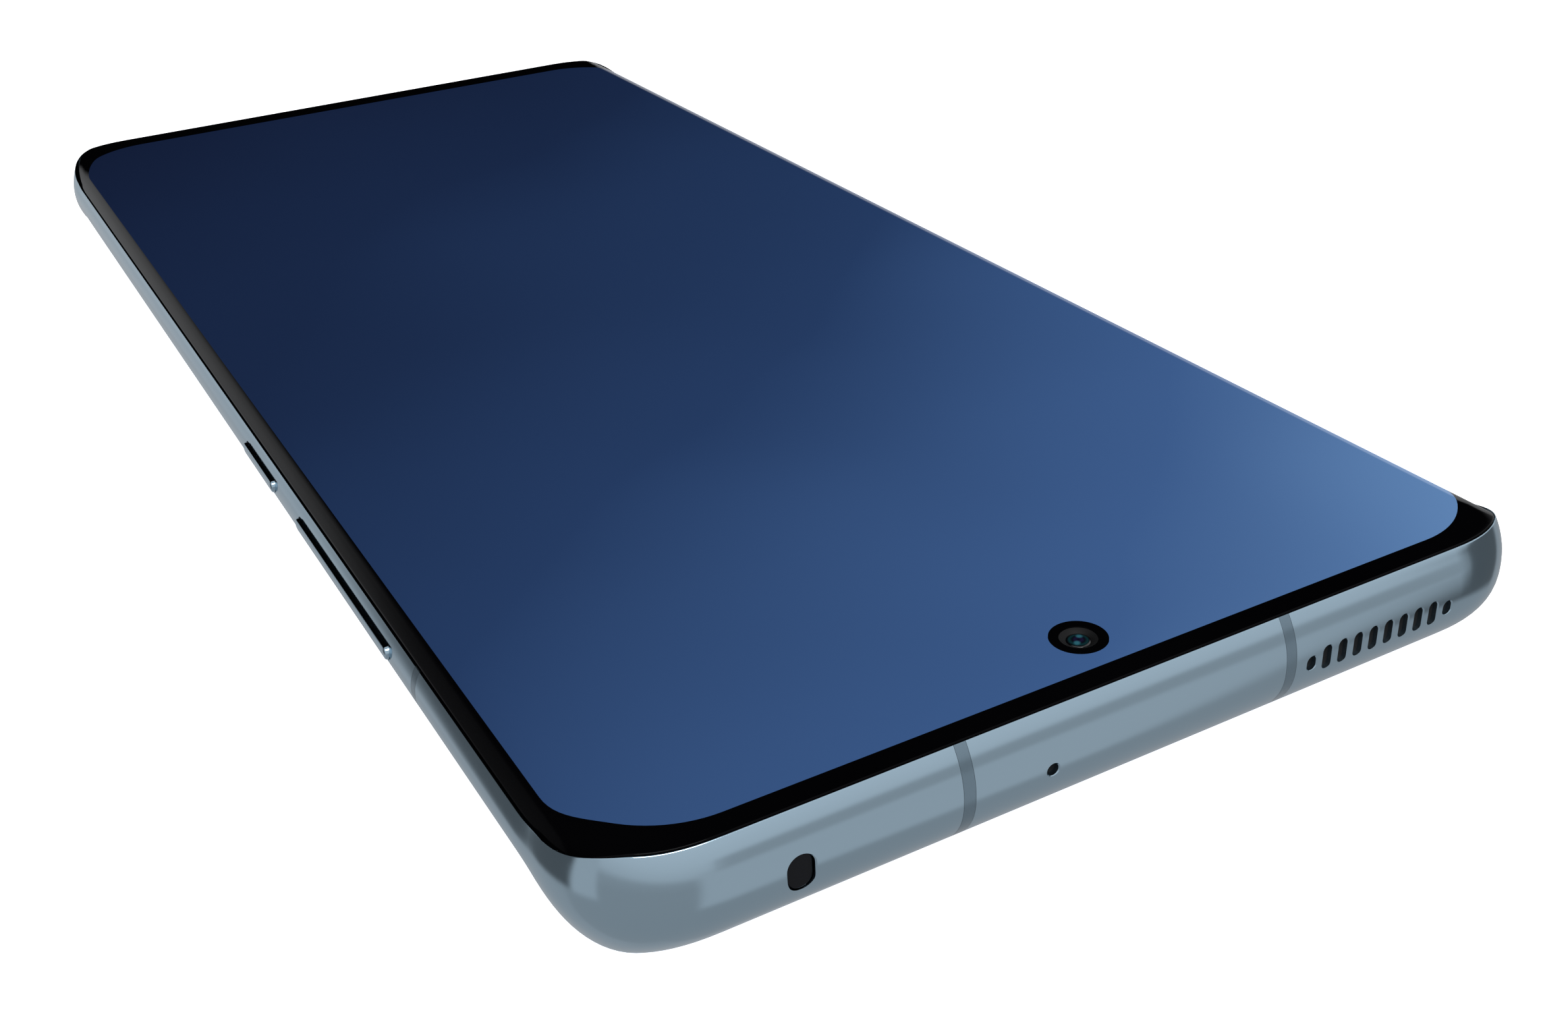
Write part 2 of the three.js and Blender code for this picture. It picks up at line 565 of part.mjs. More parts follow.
// The card tray: a bed with one notched corner, over a floor with a window for the contacts.
function makeTray() {
  const { x, halfWidth, bottom, top, inner, headHalfWidth, head, bed, window, pinHole } = TRAY;
  const face = head.inset - HALF_LENGTH;
  const { middle, half } = trayHead();
  const front = alongY(slotShape(x, middle, headHalfWidth, half), face, face + head.thickness, 5);
  const drawer = prism(plainRectangle(x - halfWidth, x + halfWidth, face + 0.5, inner, 0.8), bottom, top, 3);
  const [left, right] = [x - bed.halfWidth, x + bed.halfWidth];
  const bedShape = polygon([
    [left, bed.low], [right, bed.low], [right, bed.high - bed.notch], [right - bed.notch, bed.high],
    [left, bed.high],
  ]);
  const hole = slotShape(x + pinHole.offset, middle, pinHole.radius, pinHole.radius);
  return cut(
    join(front, drawer),
    prism(bedShape, bottom + bed.floor, top + 1),
    box(x - window.halfWidth, x + window.halfWidth, window.low, window.high, 0, 5),
    alongY(hole, face - 1, face + pinHole.depth, 2),
  );
}

function makeReader() {
  const { margin, low, high, bottom, top, side, sheet } = READER;
  const half = TRAY.halfWidth + margin;
  const [x0, x1] = [TRAY.x - half, TRAY.x + half];
  const hollow = box(x0 + side, x1 - side, low - 1, high - side, bottom + sheet, top - sheet);
  return cut(box(x0, x1, low, high, bottom, top), hollow);
}

// A key stem that shows outside, with a flange that keeps it from falling out.
function makeKey({ y, halfLength }) {
  const { z, halfHeight, proud, flange } = KEY;
  const stem = alongX(slotShape(y, z, halfLength, halfHeight), flange.outer - 0.1, HALF_WIDTH + proud, 4);
  const wide = alongX(
    slotShape(y, z, halfLength + flange.extra, halfHeight + 0.3), flange.inner, flange.outer, 2);
  return join(stem, wide);
}

function keySwitch({ y, switchHalf }) {
  const { inner, outer, halfHeight } = KEY.switch;
  return box(inner, outer, y - switchHalf, y + switchHalf, KEY.z - halfHeight, KEY.z + halfHeight);
}

function makeMotorCase() {
  const { x, y, halfLength, halfWidth, bottom, top, wall } = MOTOR;
  const [l, w] = [halfLength - wall, halfWidth - wall];
  return cut(
    box(x - halfLength, x + halfLength, y - halfWidth, y + halfWidth, bottom, top),
    box(x - l, x + l, y - w, y + w, bottom + wall, top + 1),
  );
}

// A flat cable: a thin bent section in Y and Z, as wide as given in X.
function makeFlex({ section, left, right }) {
  return alongX(polygon(section), left, right);
}

function makeCoil() {
  const { inner, outer, bottom, top, y } = COIL;
  const ring = new THREE.Shape().absarc(0, y, outer, 0, 2 * Math.PI, false);
  ring.holes.push(new THREE.Path().absarc(0, y, inner, 0, 2 * Math.PI, true));
  return prism(ring, bottom, top, 14);
}

function makeBattery() {
  const { halfWidth, low, high, bottom, top } = BATTERY;
  return prism(plainRectangle(-halfWidth, halfWidth, low, high, 1.5), bottom, top, 3);
}

function makeHeatSpreader() {
  const { halfWidth, low, high, radius, bottom, top } = HEAT_SPREADER;
  return prism(plainRectangle(-halfWidth, halfWidth, low, high, radius), bottom, top, 3);
}

// A thin mesh screen behind a row of openings. facing is +1 at the top end and -1 at the bottom.
function grilleScreen({ first, pitch, count }, facing) {
  const { inner, outer, halfHeight, margin } = SPEAKER_MESH;
  const ends = [first, first + pitch * (count - 1)].sort((a, b) => a - b);
  const [y0, y1] = [facing * inner, facing * outer].sort((a, b) => a - b);
  return box(ends[0] - margin, ends[1] + margin, y0, y1, HOLE_Z - halfHeight, HOLE_Z + halfHeight);
}

function makeSpeakerBox({ left, right, low, high, radius }) {
  return prism(plainRectangle(left, right, low, high, radius), SPEAKER_BOX.bottom, SPEAKER_BOX.top, 3);
}

// The box of a part that has its sides, ends and heights by name.
function namedBox({ left, right, low, high, bottom, top }) {
  return box(left, right, low, high, bottom, top);
}

// A plate with round corners, centred on x and y.
function roundedPlate({ x = 0, y = 0, halfWidth, halfLength, radius, bottom, top }) {
  const shape = plainRectangle(x - halfWidth, x + halfWidth, y - halfLength, y + halfLength, radius);
  return prism(shape, bottom, top, 3);
}

// --- Assembly ----------------------------------------------------------------------------

const METAL = { color: 0x8ca3b2, roughness: 0.38, metalness: 0.9 };
const STEEL = { color: 0xb9bcc0, roughness: 0.35, metalness: 1.0 };
const DARK_GLASS = { color: 0x050607, roughness: 0.08, metalness: 0.0 };
const BACK_GLASS = { color: 0x6f93b3, roughness: 0.3, metalness: 0.1 };
const BLACK = { color: 0x101214, roughness: 0.6, metalness: 0.0 };
const PLASTIC = { color: 0x5f7382, roughness: 0.5, metalness: 0.0 };
const BOARD_GREEN = { color: 0x16402f, roughness: 0.5, metalness: 0.0 };
const FLEX = { color: 0xb0702a, roughness: 0.45, metalness: 0.0 };
const COPPER = { color: 0xb87333, roughness: 0.35, metalness: 1.0 };
const BATTERY_WRAP = { color: 0x1a1b1e, roughness: 0.45, metalness: 0.0 };
const CLEAR = { color: 0xe8eef2, roughness: 0.05, metalness: 0.0 };

const phone = new THREE.Group();

function add(name, geometry, finish) {
  const mesh = new THREE.Mesh(geometry, new THREE.MeshStandardMaterial(finish));
  mesh.name = name;
  phone.add(mesh);
}

add("mid_frame", makeFrame(), METAL);
add("cover_glass", makeGlass(), DARK_GLASS);
add("display_panel", makePanel(), BLACK);
add("back_cover", makeBackCover(), BACK_GLASS);
for (const [name, slab] of Object.entries(breakSlabs(0))) {
  add(name, common(bandBlank, slab), PLASTIC);
}

add("camera_island", makeIsland(), METAL);
add("camera_cover_glass", makeCameraGlass(), DARK_GLASS);
add("main_camera", makeMainCamera(), BLACK);
add("main_camera_lens", makeMainLens(), BLACK);
for (const camera of SMALL_CAMERAS) {
  add(camera.name, makeSmallCamera(camera), BLACK);
}
add("flash_led", disc(FLASH.x, FLASH.y, FLASH.radius, -1.6, 2.6), CLEAR);

add("front_camera", makeFrontCamera(), BLACK);
add("front_camera_lens", disc(PUNCH_HOLE.x, PUNCH_HOLE.y, 1.1, 7.0, 7.3), CLEAR);
add("fingerprint_sensor", roundedPlate(FINGERPRINT), BLACK);
add("heat_spreader", makeHeatSpreader(), COPPER);
add("display_flex", makeFlex(DISPLAY_FLEX), FLEX);

add("top_speaker", makeSpeakerBox(TOP_SPEAKER_BOX), BLACK);
add("top_speaker_mesh", grilleScreen(TOP_SPEAKER, 1), STEEL);
add("top_microphone", box(TOP_MIC_X - 1.5, TOP_MIC_X + 1.5, 75.6, 78.3, 3.5, 5.2), STEEL);
const emitterShape = slotShape(EMITTER.x, HOLE_Z, EMITTER.halfWidth, EMITTER.halfHeight);
add("emitter_window", alongY(emitterShape, 79.0, HALF_LENGTH - 0.3, 5), DARK_GLASS);
add("emitter_led", alongY(slotShape(EMITTER.x, HOLE_Z, 0.8, 0.8), 75.4, 78.6, 4), CLEAR);

add("main_board", makeMainBoard(), BOARD_GREEN);
add("processor", namedBox(PROCESSOR), BLACK);
add("processor_shield", shieldCan(PROCESSOR_SHIELD, false), STEEL);
add("radio_shield", shieldCan(RADIO_SHIELD, true), STEEL);
add("upper_bracket", makeUpperBracket(), BLACK);

add("battery", makeBattery(), BATTERY_WRAP);
add("battery_tape", box(-28, 28, -50, 22, BATTERY.top + 0.05, BATTERY.top + 0.2), PLASTIC);
add("battery_flex", makeFlex(BATTERY_FLEX), FLEX);
add("charging_coil", makeCoil(), COPPER);
add("coil_shield", roundedPlate(COIL_SHIELD), BLACK);
add("board_link_flex", makeFlex(LINK_FLEX), FLEX);

add("low_board", makeLowBoard(), BOARD_GREEN);
add("usb_shell", makeUsbShell(), STEEL);
add("usb_tongue", box(-TONGUE.halfWidth, TONGUE.halfWidth, TONGUE.front, TONGUE.back,
  USB.z - TONGUE.thickness / 2, USB.z + TONGUE.thickness / 2), BLACK);
add("bottom_speaker", makeSpeakerBox(BOTTOM_SPEAKER_BOX), BLACK);
add("bottom_speaker_mesh", grilleScreen(BOTTOM_SPEAKER, -1), STEEL);
add("bottom_microphone", box(BOTTOM_MIC_X - 1.4, BOTTOM_MIC_X + 1.4, -78.3, -75.9, 3.2, 4.65), STEEL);
add("vibration_motor", makeMotorCase(), STEEL);
add("vibration_mass", roundedPlate(MOTOR.mass), STEEL);
add("card_tray", makeTray(), METAL);
add("card_reader", makeReader(), STEEL);
add("lower_bracket", makeLowerBracket(), BLACK);

add("power_key", makeKey(POWER_KEY), METAL);
add("volume_key", makeKey(VOLUME_KEY), METAL);
add("power_switch", keySwitch(POWER_KEY), STEEL);
add("volume_switch", keySwitch(VOLUME_KEY), STEEL);
[...UPPER_SCREWS, ...LOWER_SCREWS].forEach((place, i) => add(`screw_${i + 1}`, makeScrew(place), STEEL));

export default phone;
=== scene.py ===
"""Looks of a slab smartphone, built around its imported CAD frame.

Shapes are worked out in millimetres and turned into metres when a mesh is made.
+Z points out of the screen, +Y towards the top end, +X towards the side with the keys.
"""

import json
import math

import bmesh
import bpy
import numpy as np
from mathutils import Matrix, Vector
from mathutils.bvhtree import BVHTree
from mathutils.geometry import tessellate_polygon
from mathutils.interpolate import poly_3d_calc


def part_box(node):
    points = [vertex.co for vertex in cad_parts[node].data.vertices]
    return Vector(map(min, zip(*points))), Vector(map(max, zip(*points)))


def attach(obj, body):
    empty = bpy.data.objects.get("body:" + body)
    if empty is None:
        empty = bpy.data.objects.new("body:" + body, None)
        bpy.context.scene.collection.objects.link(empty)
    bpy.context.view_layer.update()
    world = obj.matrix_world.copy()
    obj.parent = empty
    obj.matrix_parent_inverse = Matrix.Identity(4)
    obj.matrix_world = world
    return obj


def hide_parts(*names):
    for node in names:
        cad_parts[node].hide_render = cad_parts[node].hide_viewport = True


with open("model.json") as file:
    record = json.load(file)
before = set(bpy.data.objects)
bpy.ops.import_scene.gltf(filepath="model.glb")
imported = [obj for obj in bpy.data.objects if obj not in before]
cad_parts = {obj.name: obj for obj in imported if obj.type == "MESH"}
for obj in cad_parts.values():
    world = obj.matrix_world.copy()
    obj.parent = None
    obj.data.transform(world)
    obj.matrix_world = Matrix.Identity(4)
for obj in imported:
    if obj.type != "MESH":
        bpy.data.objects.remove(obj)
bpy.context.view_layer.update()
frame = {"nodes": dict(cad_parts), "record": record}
MM = 0.001


def node_box(name):
    """Lowest and highest corner of a CAD node, in millimetres."""
    low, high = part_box(name)
    return low / MM, high / MM


def node_middle(name):
    low, high = node_box(name)
    return (low + high) / 2


# --- Sizes -------------------------------------------------------------------------------

BAND_BOX = node_box("mid_frame")
GLASS_BOX = node_box("cover_glass")
BACK_BOX = node_box("back_cover")
ISLAND_BOX = node_box("camera_island")
HALF_WIDTH, HALF_LENGTH = BAND_BOX[1].x, BAND_BOX[1].y
FACE_Z = GLASS_BOX[1].z

# Both sheets bend through this angle along the long sides.
BEND_ANGLE = math.radians(73)
GLASS = dict(half=(GLASS_BOX[1].x, GLASS_BOX[1].y), bend=3.41, sheet=0.6, radius=8.2, exponent=2.6)
BACK = dict(half=(BACK_BOX[1].x + 0.01, BACK_BOX[1].y), bend=3.6, sheet=0.65, radius=7.8, exponent=2.4)
for sheet_shape in (GLASS, BACK):
    reach = sheet_shape["bend"] * math.sin(BEND_ANGLE)
    sheet_shape["flat"] = sheet_shape["half"][0] - reach
EDGE_ROUND = 0.1
BACK_EDGE_ROUND = 0.5

# The picture's area on the front glass: half width, lowest and highest y, corner radius.
ACTIVE = dict(half_width=35.7, low=-77.3, high=78.84, radius=8.0)
PUNCH = node_middle("front_camera_lens")
PUNCH_RADIUS = 1.98

# Band: heights of its front edge, middle line and back edge, on a long side and on an end.
BAND_RADIUS, BAND_EXPONENT = 8.9, 2.4
BAND_FRONT = (5.75, 8.0)
BAND_MIDDLE = (3.9, 4.5)
BAND_BACK = (2.57, 0.2)
BAND_BULGE = 2.2
RISE_FROM, RISE_OVER = -0.215, 0.862
LEAD_IN = 2.8
WALL = dict(half=(35.1, 78.63), radius=7.0, exponent=2.2)
PLATE_HEIGHTS = (5.5, 6.1)
SEAT_GAP = 0.12
LIP_GAP = 0.04

HOLE_Z = 4.25
CHAMFER = 0.05
TOP_SPEAKER = dict(first=-14.68, pitch=-1.4, count=10, half=(0.4, 0.93))
BOTTOM_SPEAKER = dict(first=14.7, pitch=1.9, count=6, half=(0.55, 0.93))
MIC_RADIUS = 0.43
GAUZE_DEPTH = 0.45

# Keys: stems with a flange inside the wall. Card tray: an oval face on a flat drawer.
KEY_GAP = 0.09
KEY_HALF = 0.52
KEY_FLANGE = dict(extra=0.9, sheet=0.5)
KEY_ROUND = 0.14
KEY_DOME = 0.05
KEY_Z = node_middle("power_key").z
TRAY_BOX = node_box("card_tray")
TRAY_X = node_middle("card_tray").x
TRAY_HALF = ((TRAY_BOX[1].x - TRAY_BOX[0].x) / 2, (TRAY_BOX[1].z - TRAY_BOX[0].z) / 2)
TRAY_Z = node_middle("card_tray").z
TRAY_DRAWER = dict(half_width=7.1, height=1.2, face=1.3)
TRAY_BED = dict(half_width=4.45, low=-76.4, high=-64.1, notch=1.6, floor=0.35)
TRAY_WINDOW = dict(half_width=3.4, low=-75, high=-66)
TRAY_PIN = dict(offset=6.4, radius=0.4, depth=1.5)

# Camera island: it stands through the back cover and has a flange behind it.
ISLAND_FLANGE = 1.0
ISLAND_MIDDLE = node_middle("camera_island")
ISLAND_HALF = ((ISLAND_BOX[1].x - ISLAND_BOX[0].x) / 2 - ISLAND_FLANGE,
               (ISLAND_BOX[1].y - ISLAND_BOX[0].y) / 2 - ISLAND_FLANGE)
ISLAND_RADIUS = 7.0
ISLAND_OUTER = ISLAND_BOX[0].z
ISLAND_ROUND = 0.5
ISLAND_RIM, ISLAND_WALL = 1.1, 1.6
ISLAND_PLATE = (-2.0, -1.3)
# Radii of each camera's opening in the sunk plate and in the glass over it.
CAMERAS = dict(main_camera=(5.6, 5.25), wide_camera=(3.8, 3.5), macro_camera=(3.2, 2.9),
               flash_led=(2.3, 2.05))

CORNER_STEPS = 22
LEAD_STEPS = 4
ROUND_SEGMENTS = 56
AXIS = 0.02
# Edges sharper than this, in degrees, stay sharp in the shading.
PIECE_SHARP, BAND_SHARP = 34, 30
BODY = "phone_body"


# --- Mesh building -----------------------------------------------------------------------

class Shell:
    """Points and faces of one piece, collected ring by ring, in millimetres."""

    def __init__(self):
        self.points = []
        self.faces = []

    def ring(self, points):
        start = len(self.points)
        self.points.extend(tuple(float(c) for c in p) for p in points)
        return list(range(start, len(self.points)))

    def bridge(self, a, b):
        for i in range(len(a)):
            j = (i + 1) % len(a)
            self.faces.append((a[i], a[j], b[j], b[i]))

    def loft(self, rings):
        made = [self.ring(r) for r in rings]
        for a, b in zip(made, made[1:]):
            self.bridge(a, b)
        return made

    def cap(self, ring):
        self.faces.append(tuple(ring))

    def solid(self, rings):
        """A closed body through rings, with its ends filled."""
        made = self.loft(rings)
        self.cap(made[0])
        self.cap(made[-1])

    def plate(self, outer, holes, flip=False):
        """Fills the space between a ring and the rings of its holes."""
        loops = [outer] + holes
        order = [i for loop in loops for i in loop]
        flat = [[Vector(self.points[i]) for i in loop] for loop in loops]
        for a, b, c in tessellate_polygon(flat):
            face = (order[a], order[b], order[c])
            self.faces.append(face[::-1] if flip else face)

    def mesh(self):
        mesh = bpy.data.meshes.new("shape")
        mesh.from_pydata([tuple(c * MM for c in p) for p in self.points], [], self.faces)
        tidy_mesh(mesh)
        return mesh


def solid_mesh(rings):
    """A mesh of one closed body through rings."""
    shell = Shell()
    shell.solid(rings)
    return shell.mesh()


def tidy_mesh(mesh):
    """Merges doubled points and turns every face outwards."""
    bm = bmesh.new()
    bm.from_mesh(mesh)
    bmesh.ops.remove_doubles(bm, verts=bm.verts, dist=1e-7)
    bmesh.ops.dissolve_degenerate(bm, edges=bm.edges, dist=1e-8)
    bmesh.ops.recalc_face_normals(bm, faces=bm.faces)
    bm.to_mesh(mesh)
    bm.free()


def new_object(name, mesh):
    obj = bpy.data.objects.new(name, mesh)
    bpy.context.scene.collection.objects.link(obj)
    return obj


def smooth(obj):
    """Smooth shading with sharp edges, and large flat faces that keep their own normals."""
    obj.data.shade_smooth()
    obj.data.set_sharp_from_angle(angle=math.radians(PIECE_SHARP))
    weighted = obj.modifiers.new("weighted", "WEIGHTED_NORMAL")
    weighted.keep_sharp = True
    weighted.weight = 100
    apply_modifiers(obj)


def apply_modifiers(obj):
    bpy.context.view_layer.update()
    evaluated = obj.evaluated_get(bpy.context.evaluated_depsgraph_get())
    made = bpy.data.meshes.new_from_object(evaluated)
    obj.modifiers.clear()
    obj.data = made


def boolean(obj, mesh, operation):
    """Adds a closed mesh to an object, cuts it away, or keeps what both share."""
    cutter = new_object("cutter", mesh)
    step = obj.modifiers.new("cut", "BOOLEAN")
    step.solver = "EXACT"
    step.operation = operation
    step.object = cutter
    apply_modifiers(obj)
    discard(cutter)


def discard(obj):
    bpy.data.objects.remove(obj)


def piece(name, mesh, slot, stands_for=(), body=BODY, finish=None):
    """A finished piece of the phone that rides on a body and takes a record's material slot."""
    obj = new_object(name, mesh)
    smooth(obj)
    dress(obj, slot, stands_for, body, finish)


def dress(obj, slot, stands_for=(), body=BODY, finish=None):
    """Ties a piece to its body, slot and CAD nodes. Its finish is the slot's unless one is given."""
    obj.data.materials.clear()
    obj.data.materials.append(finish or FINISHES[slot])
    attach(obj, body)
    if stands_for:
        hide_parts(*stands_for)


# --- Outlines ----------------------------------------------------------------------------

def corner_arc(radius, exponent, steps):
    turn = np.linspace(0, 1, steps + 1)
    x = radius * np.cos(turn * math.pi / 2).clip(0) ** (2 / exponent)
    y = radius * np.sin(turn * math.pi / 2).clip(0) ** (2 / exponent)
    return turn, x, y


def outline(half, radius, exponent=2.0, grow=0.0, steps=CORNER_STEPS, centre=(0, 0), lead=0.0):
    """A rounded rectangle, counter-clockwise: its points, and each one's turn, from 0 where the
    corner leaves a long side to 1 where it meets an end."""
    r = max(radius + grow, 0.02)
    turn, x, y = corner_arc(r, exponent, steps)
    if lead:
        run = np.linspace(1, 0, LEAD_STEPS, endpoint=False)
        turn = np.concatenate([-run * 2 * lead / (math.pi * r), turn])
        x = np.concatenate([np.full(LEAD_STEPS, r), x])
        y = np.concatenate([-run * lead, y])
    x = x + half[0] + grow - r
    y = y + half[1] + grow - r
    points, turns = [], []
    for sx, sy in ((1, 1), (-1, 1), (-1, -1), (1, -1)):
        quarter = np.stack([sx * x + centre[0], sy * y + centre[1]], 1)
        forward = sx * sy > 0
        points.append(quarter if forward else quarter[::-1])
        turns.append(turn if forward else turn[::-1])
    return np.concatenate(points), np.concatenate(turns)


def island_outline(inset, steps=14):
    return outline(ISLAND_HALF, ISLAND_RADIUS, 2.0, -inset, steps, ISLAND_MIDDLE[:2])[0]


def circle(radius, centre, segments=ROUND_SEGMENTS):
    turn = np.linspace(0, 2 * math.pi, segments, endpoint=False)
    return np.column_stack([centre[0] + radius * np.cos(turn), centre[1] + radius * np.sin(turn)])


def sheet_outline(sheet, grow=0.0):
    return outline(sheet["half"], sheet["radius"], sheet["exponent"], grow, lead=LEAD_IN)


def slot_points(half, steps=8):
    """A slot with round ends about the origin, in its own plane."""
    return outline(half, min(half) * 0.999, steps=steps)[0]


def rise(turn, heights):
    u = np.clip((turn - RISE_FROM) / RISE_OVER, 0, 1)
    return heights[0] + (heights[1] - heights[0]) * u * u * (3 - 2 * u)


def lifted(points, z):
    """Points in the plane with a height, which is one number or one for each point."""
    return np.column_stack([points, np.broadcast_to(z, len(points))])


# --- Bent sheets -------------------------------------------------------------------------

def bend_angle(sheet, x):
    over = (np.abs(x) - sheet["flat"]).clip(0)
    return np.arcsin((over / sheet["bend"]).clip(0, 1))


def sheet_surface(sheet, points, facing, edge_drop=0.0, depth=0.0):
    """The points' places on a bent sheet. facing is 1 for the front glass and -1 for the back
    cover; depth is how far under the outer surface they are."""
    angle = bend_angle(sheet, points[:, 0])
    face = FACE_Z if facing > 0 else 0.0
    z = face - facing * sheet["bend"] * (1 - np.cos(angle))
    placed = lifted(points, z - facing * edge_drop)
    normal = np.column_stack([np.sign(points[:, 0]) * np.sin(angle), 0 * angle, facing * np.cos(angle)])
    return placed - normal * depth


def rounding(inset, size):
    """How far a rounded edge drops at a distance inside the outline."""
    left = max(0.0, 1 - inset / size)
    return size * (1 - math.sqrt(max(0.0, 1 - left * left)))


def edge_rings(sheet, facing, size, steps=5):
    """Rings that round the outer edge of a sheet, from the outline inwards."""
    rings = []
    for i in range(steps + 1):
        inset = size * (1 - math.cos(i / steps * math.pi / 2))
        points = sheet_outline(sheet, -inset)[0]
        rings.append(sheet_surface(sheet, points, facing, rounding(inset, size)))
    return rings


def active_outline(inset=0.0):
    """The picture's outline, drawn in by an inset at the sides and by a little of it at the ends."""
    low, high = ACTIVE["low"], ACTIVE["high"]
    half = (ACTIVE["half_width"] - inset, (high - low) / 2 - 0.3 * inset)
    radius = ACTIVE["radius"] - 0.5 * inset
    return outline(half, radius, centre=(0, (low + high) / 2), lead=LEAD_IN)[0]


def border_mesh():
    """The black printed margin of the front glass, from its edge to the picture."""
    shell = Shell()
    rings = edge_rings(GLASS, 1, EDGE_ROUND)
    start = sheet_outline(GLASS, -EDGE_ROUND)[0]
    inner = active_outline()
    for share in (0.34, 0.67, 1.0):
        rings.append(sheet_surface(GLASS, start + (inner - start) * share, 1))
    under_inner = sheet_surface(GLASS, inner, 1, depth=GLASS["sheet"])
    under_outer = sheet_surface(GLASS, sheet_outline(GLASS, 0)[0], 1, depth=GLASS["sheet"])
    made = shell.loft(rings + [under_inner, under_outer])
    shell.bridge(made[-1], made[0])
    return shell.mesh()


def picture_mesh():
    """The picture's part of the front glass, with the opening for the front camera."""
    shell = Shell()
    insets = (0, 0.35, 0.7, 1.1, 1.55, 2.05, 2.6)
    top = [sheet_surface(GLASS, active_outline(i), 1) for i in insets]
    under = [sheet_surface(GLASS, active_outline(i), 1, depth=GLASS["sheet"]) for i in insets]
    made = shell.loft(under[::-1] + top)
    hole = circle(PUNCH_RADIUS, PUNCH)
    low = shell.ring(lifted(hole, FACE_Z - GLASS["sheet"]))
    high = shell.ring(lifted(hole, FACE_Z))
    shell.bridge(low, high)
    shell.plate(made[-1], [high])
    shell.plate(made[0], [low], flip=True)
    return shell.mesh()


def back_mesh():
    """The back cover, bent along its sides, with the opening for the camera island."""
    shell = Shell()
    outer = edge_rings(BACK, -1, BACK_EDGE_ROUND)
    insets = (0.8, 1.2, 1.7, 2.3, 3.0, 3.7)
    outer += [sheet_surface(BACK, sheet_outline(BACK, -i)[0], -1) for i in insets]
    inner = [sheet_surface(BACK, sheet_outline(BACK, -i)[0], -1, depth=BACK["sheet"])
             for i in (3.7, 2.3, 1.2, 0.4)]
    made = shell.loft(outer)
    hidden = shell.loft(inner)
    shell.bridge(hidden[-1], made[0])
    opening = island_outline(-0.06)
    low = shell.ring(lifted(opening, 0))
    high = shell.ring(lifted(opening, BACK["sheet"]))
    shell.bridge(low, high)
    shell.plate(made[-1], [low])
    shell.plate(hidden[0], [high], flip=True)
    return shell.mesh()


# --- Band --------------------------------------------------------------------------------

def band_ring(t):
    """One ring of the band's outer surface: t is -1 at the back edge and 1 at the front edge."""
    middle, turn = outline((HALF_WIDTH, HALF_LENGTH), BAND_RADIUS, BAND_EXPONENT, lead=LEAD_IN)
    edge = sheet_outline(GLASS if t > 0 else BACK, SEAT_GAP)[0]
    out = 1 - abs(t) ** BAND_BULGE
    centre = rise(turn, BAND_MIDDLE)
    heights = rise(turn, BAND_FRONT if t > 0 else BAND_BACK)
    return lifted(edge + (middle - edge) * out, centre + (heights - centre) * abs(t))


def lip_rings(sheet, heights, facing):
    """The small rounded lip beside a sheet, and the shelf that the sheet lies on."""
    turn = sheet_outline(sheet)[1]
    edge = rise(turn, heights)
    rings = []
    for i in range(1, 4):
        a = i / 3 * math.pi / 2
        points = sheet_outline(sheet, SEAT_GAP - (SEAT_GAP - LIP_GAP) * math.sin(a))[0]
        rings.append(lifted(points, edge + facing * 0.05 * math.sin(2 * a)))
    shelf = edge - facing * rise(turn, (0.35, 1.15))
    rings.append(lifted(sheet_outline(sheet, LIP_GAP)[0], shelf))
    rings.append(lifted(outline(WALL["half"], WALL["radius"], WALL["exponent"], lead=LEAD_IN)[0], shelf))
    return rings


def band_mesh():
    """The metal band before its openings are cut."""
    shell = Shell()
    steps = np.sin(np.linspace(-1, 1, 27) * math.pi / 2)
    rings = [band_ring(t) for t in steps]
    rings += lip_rings(GLASS, BAND_FRONT, 1)
    rings += lip_rings(BACK, BAND_BACK, -1)[::-1]
    made = shell.loft(rings)
    shell.bridge(made[-1], made[0])
    return shell.mesh()


def across_end(points, x, z, y, facing):
    """A flat shape's points, placed in an end wall at depth y."""
    return np.column_stack([x + points[:, 0], np.full(len(points), facing * y), z + points[:, 1]])


def across_side(points, y, z, x):
    """A flat shape's points, placed in the +X side wall at depth x."""
    return np.column_stack([np.full(len(points), x), y + points[:, 0], z + points[:, 1]])


def flared(half, chamfer, steps=8):
    """The sections of a cutter with a chamfered mouth, from outside inwards: points and depth."""
    wide = 0.5
    grown = [(half[0] + g, half[1] + g) for g in (chamfer + wide, 0, 0)]
    return [slot_points(g, steps) for g in grown], [-wide, chamfer, 4.4]


def end_cutter(shell, x, z, half, facing, surface=HALF_LENGTH - 0.04, chamfer=CHAMFER):
    sections, depths = flared(half, chamfer)
    shell.solid([across_end(s, x, z, surface - d, facing) for s, d in zip(sections, depths)])


def side_cutter(shell, y, z, half, surface=HALF_WIDTH - 0.02, chamfer=0.07):
    sections, depths = flared(half, chamfer, steps=10)
    shell.solid([across_side(s, y, z, surface - d) for s, d in zip(sections, depths)])


def speaker_places(speaker):
    """The place and half size of each opening in a row: round at both ends, slots between."""
    last = speaker["count"] - 1
    for i in range(speaker["count"]):
        half = speaker["half"]
        tall = 1.35 * half[0] if i in (0, last) else half[1]
        yield speaker["first"] + speaker["pitch"] * i, (half[0], tall)


def half_sizes(name):
    """Half width and half height of a CAD node that stands in an end wall."""
    low, high = node_box(name)
    return (high.x - low.x) / 2, (high.z - low.z) / 2


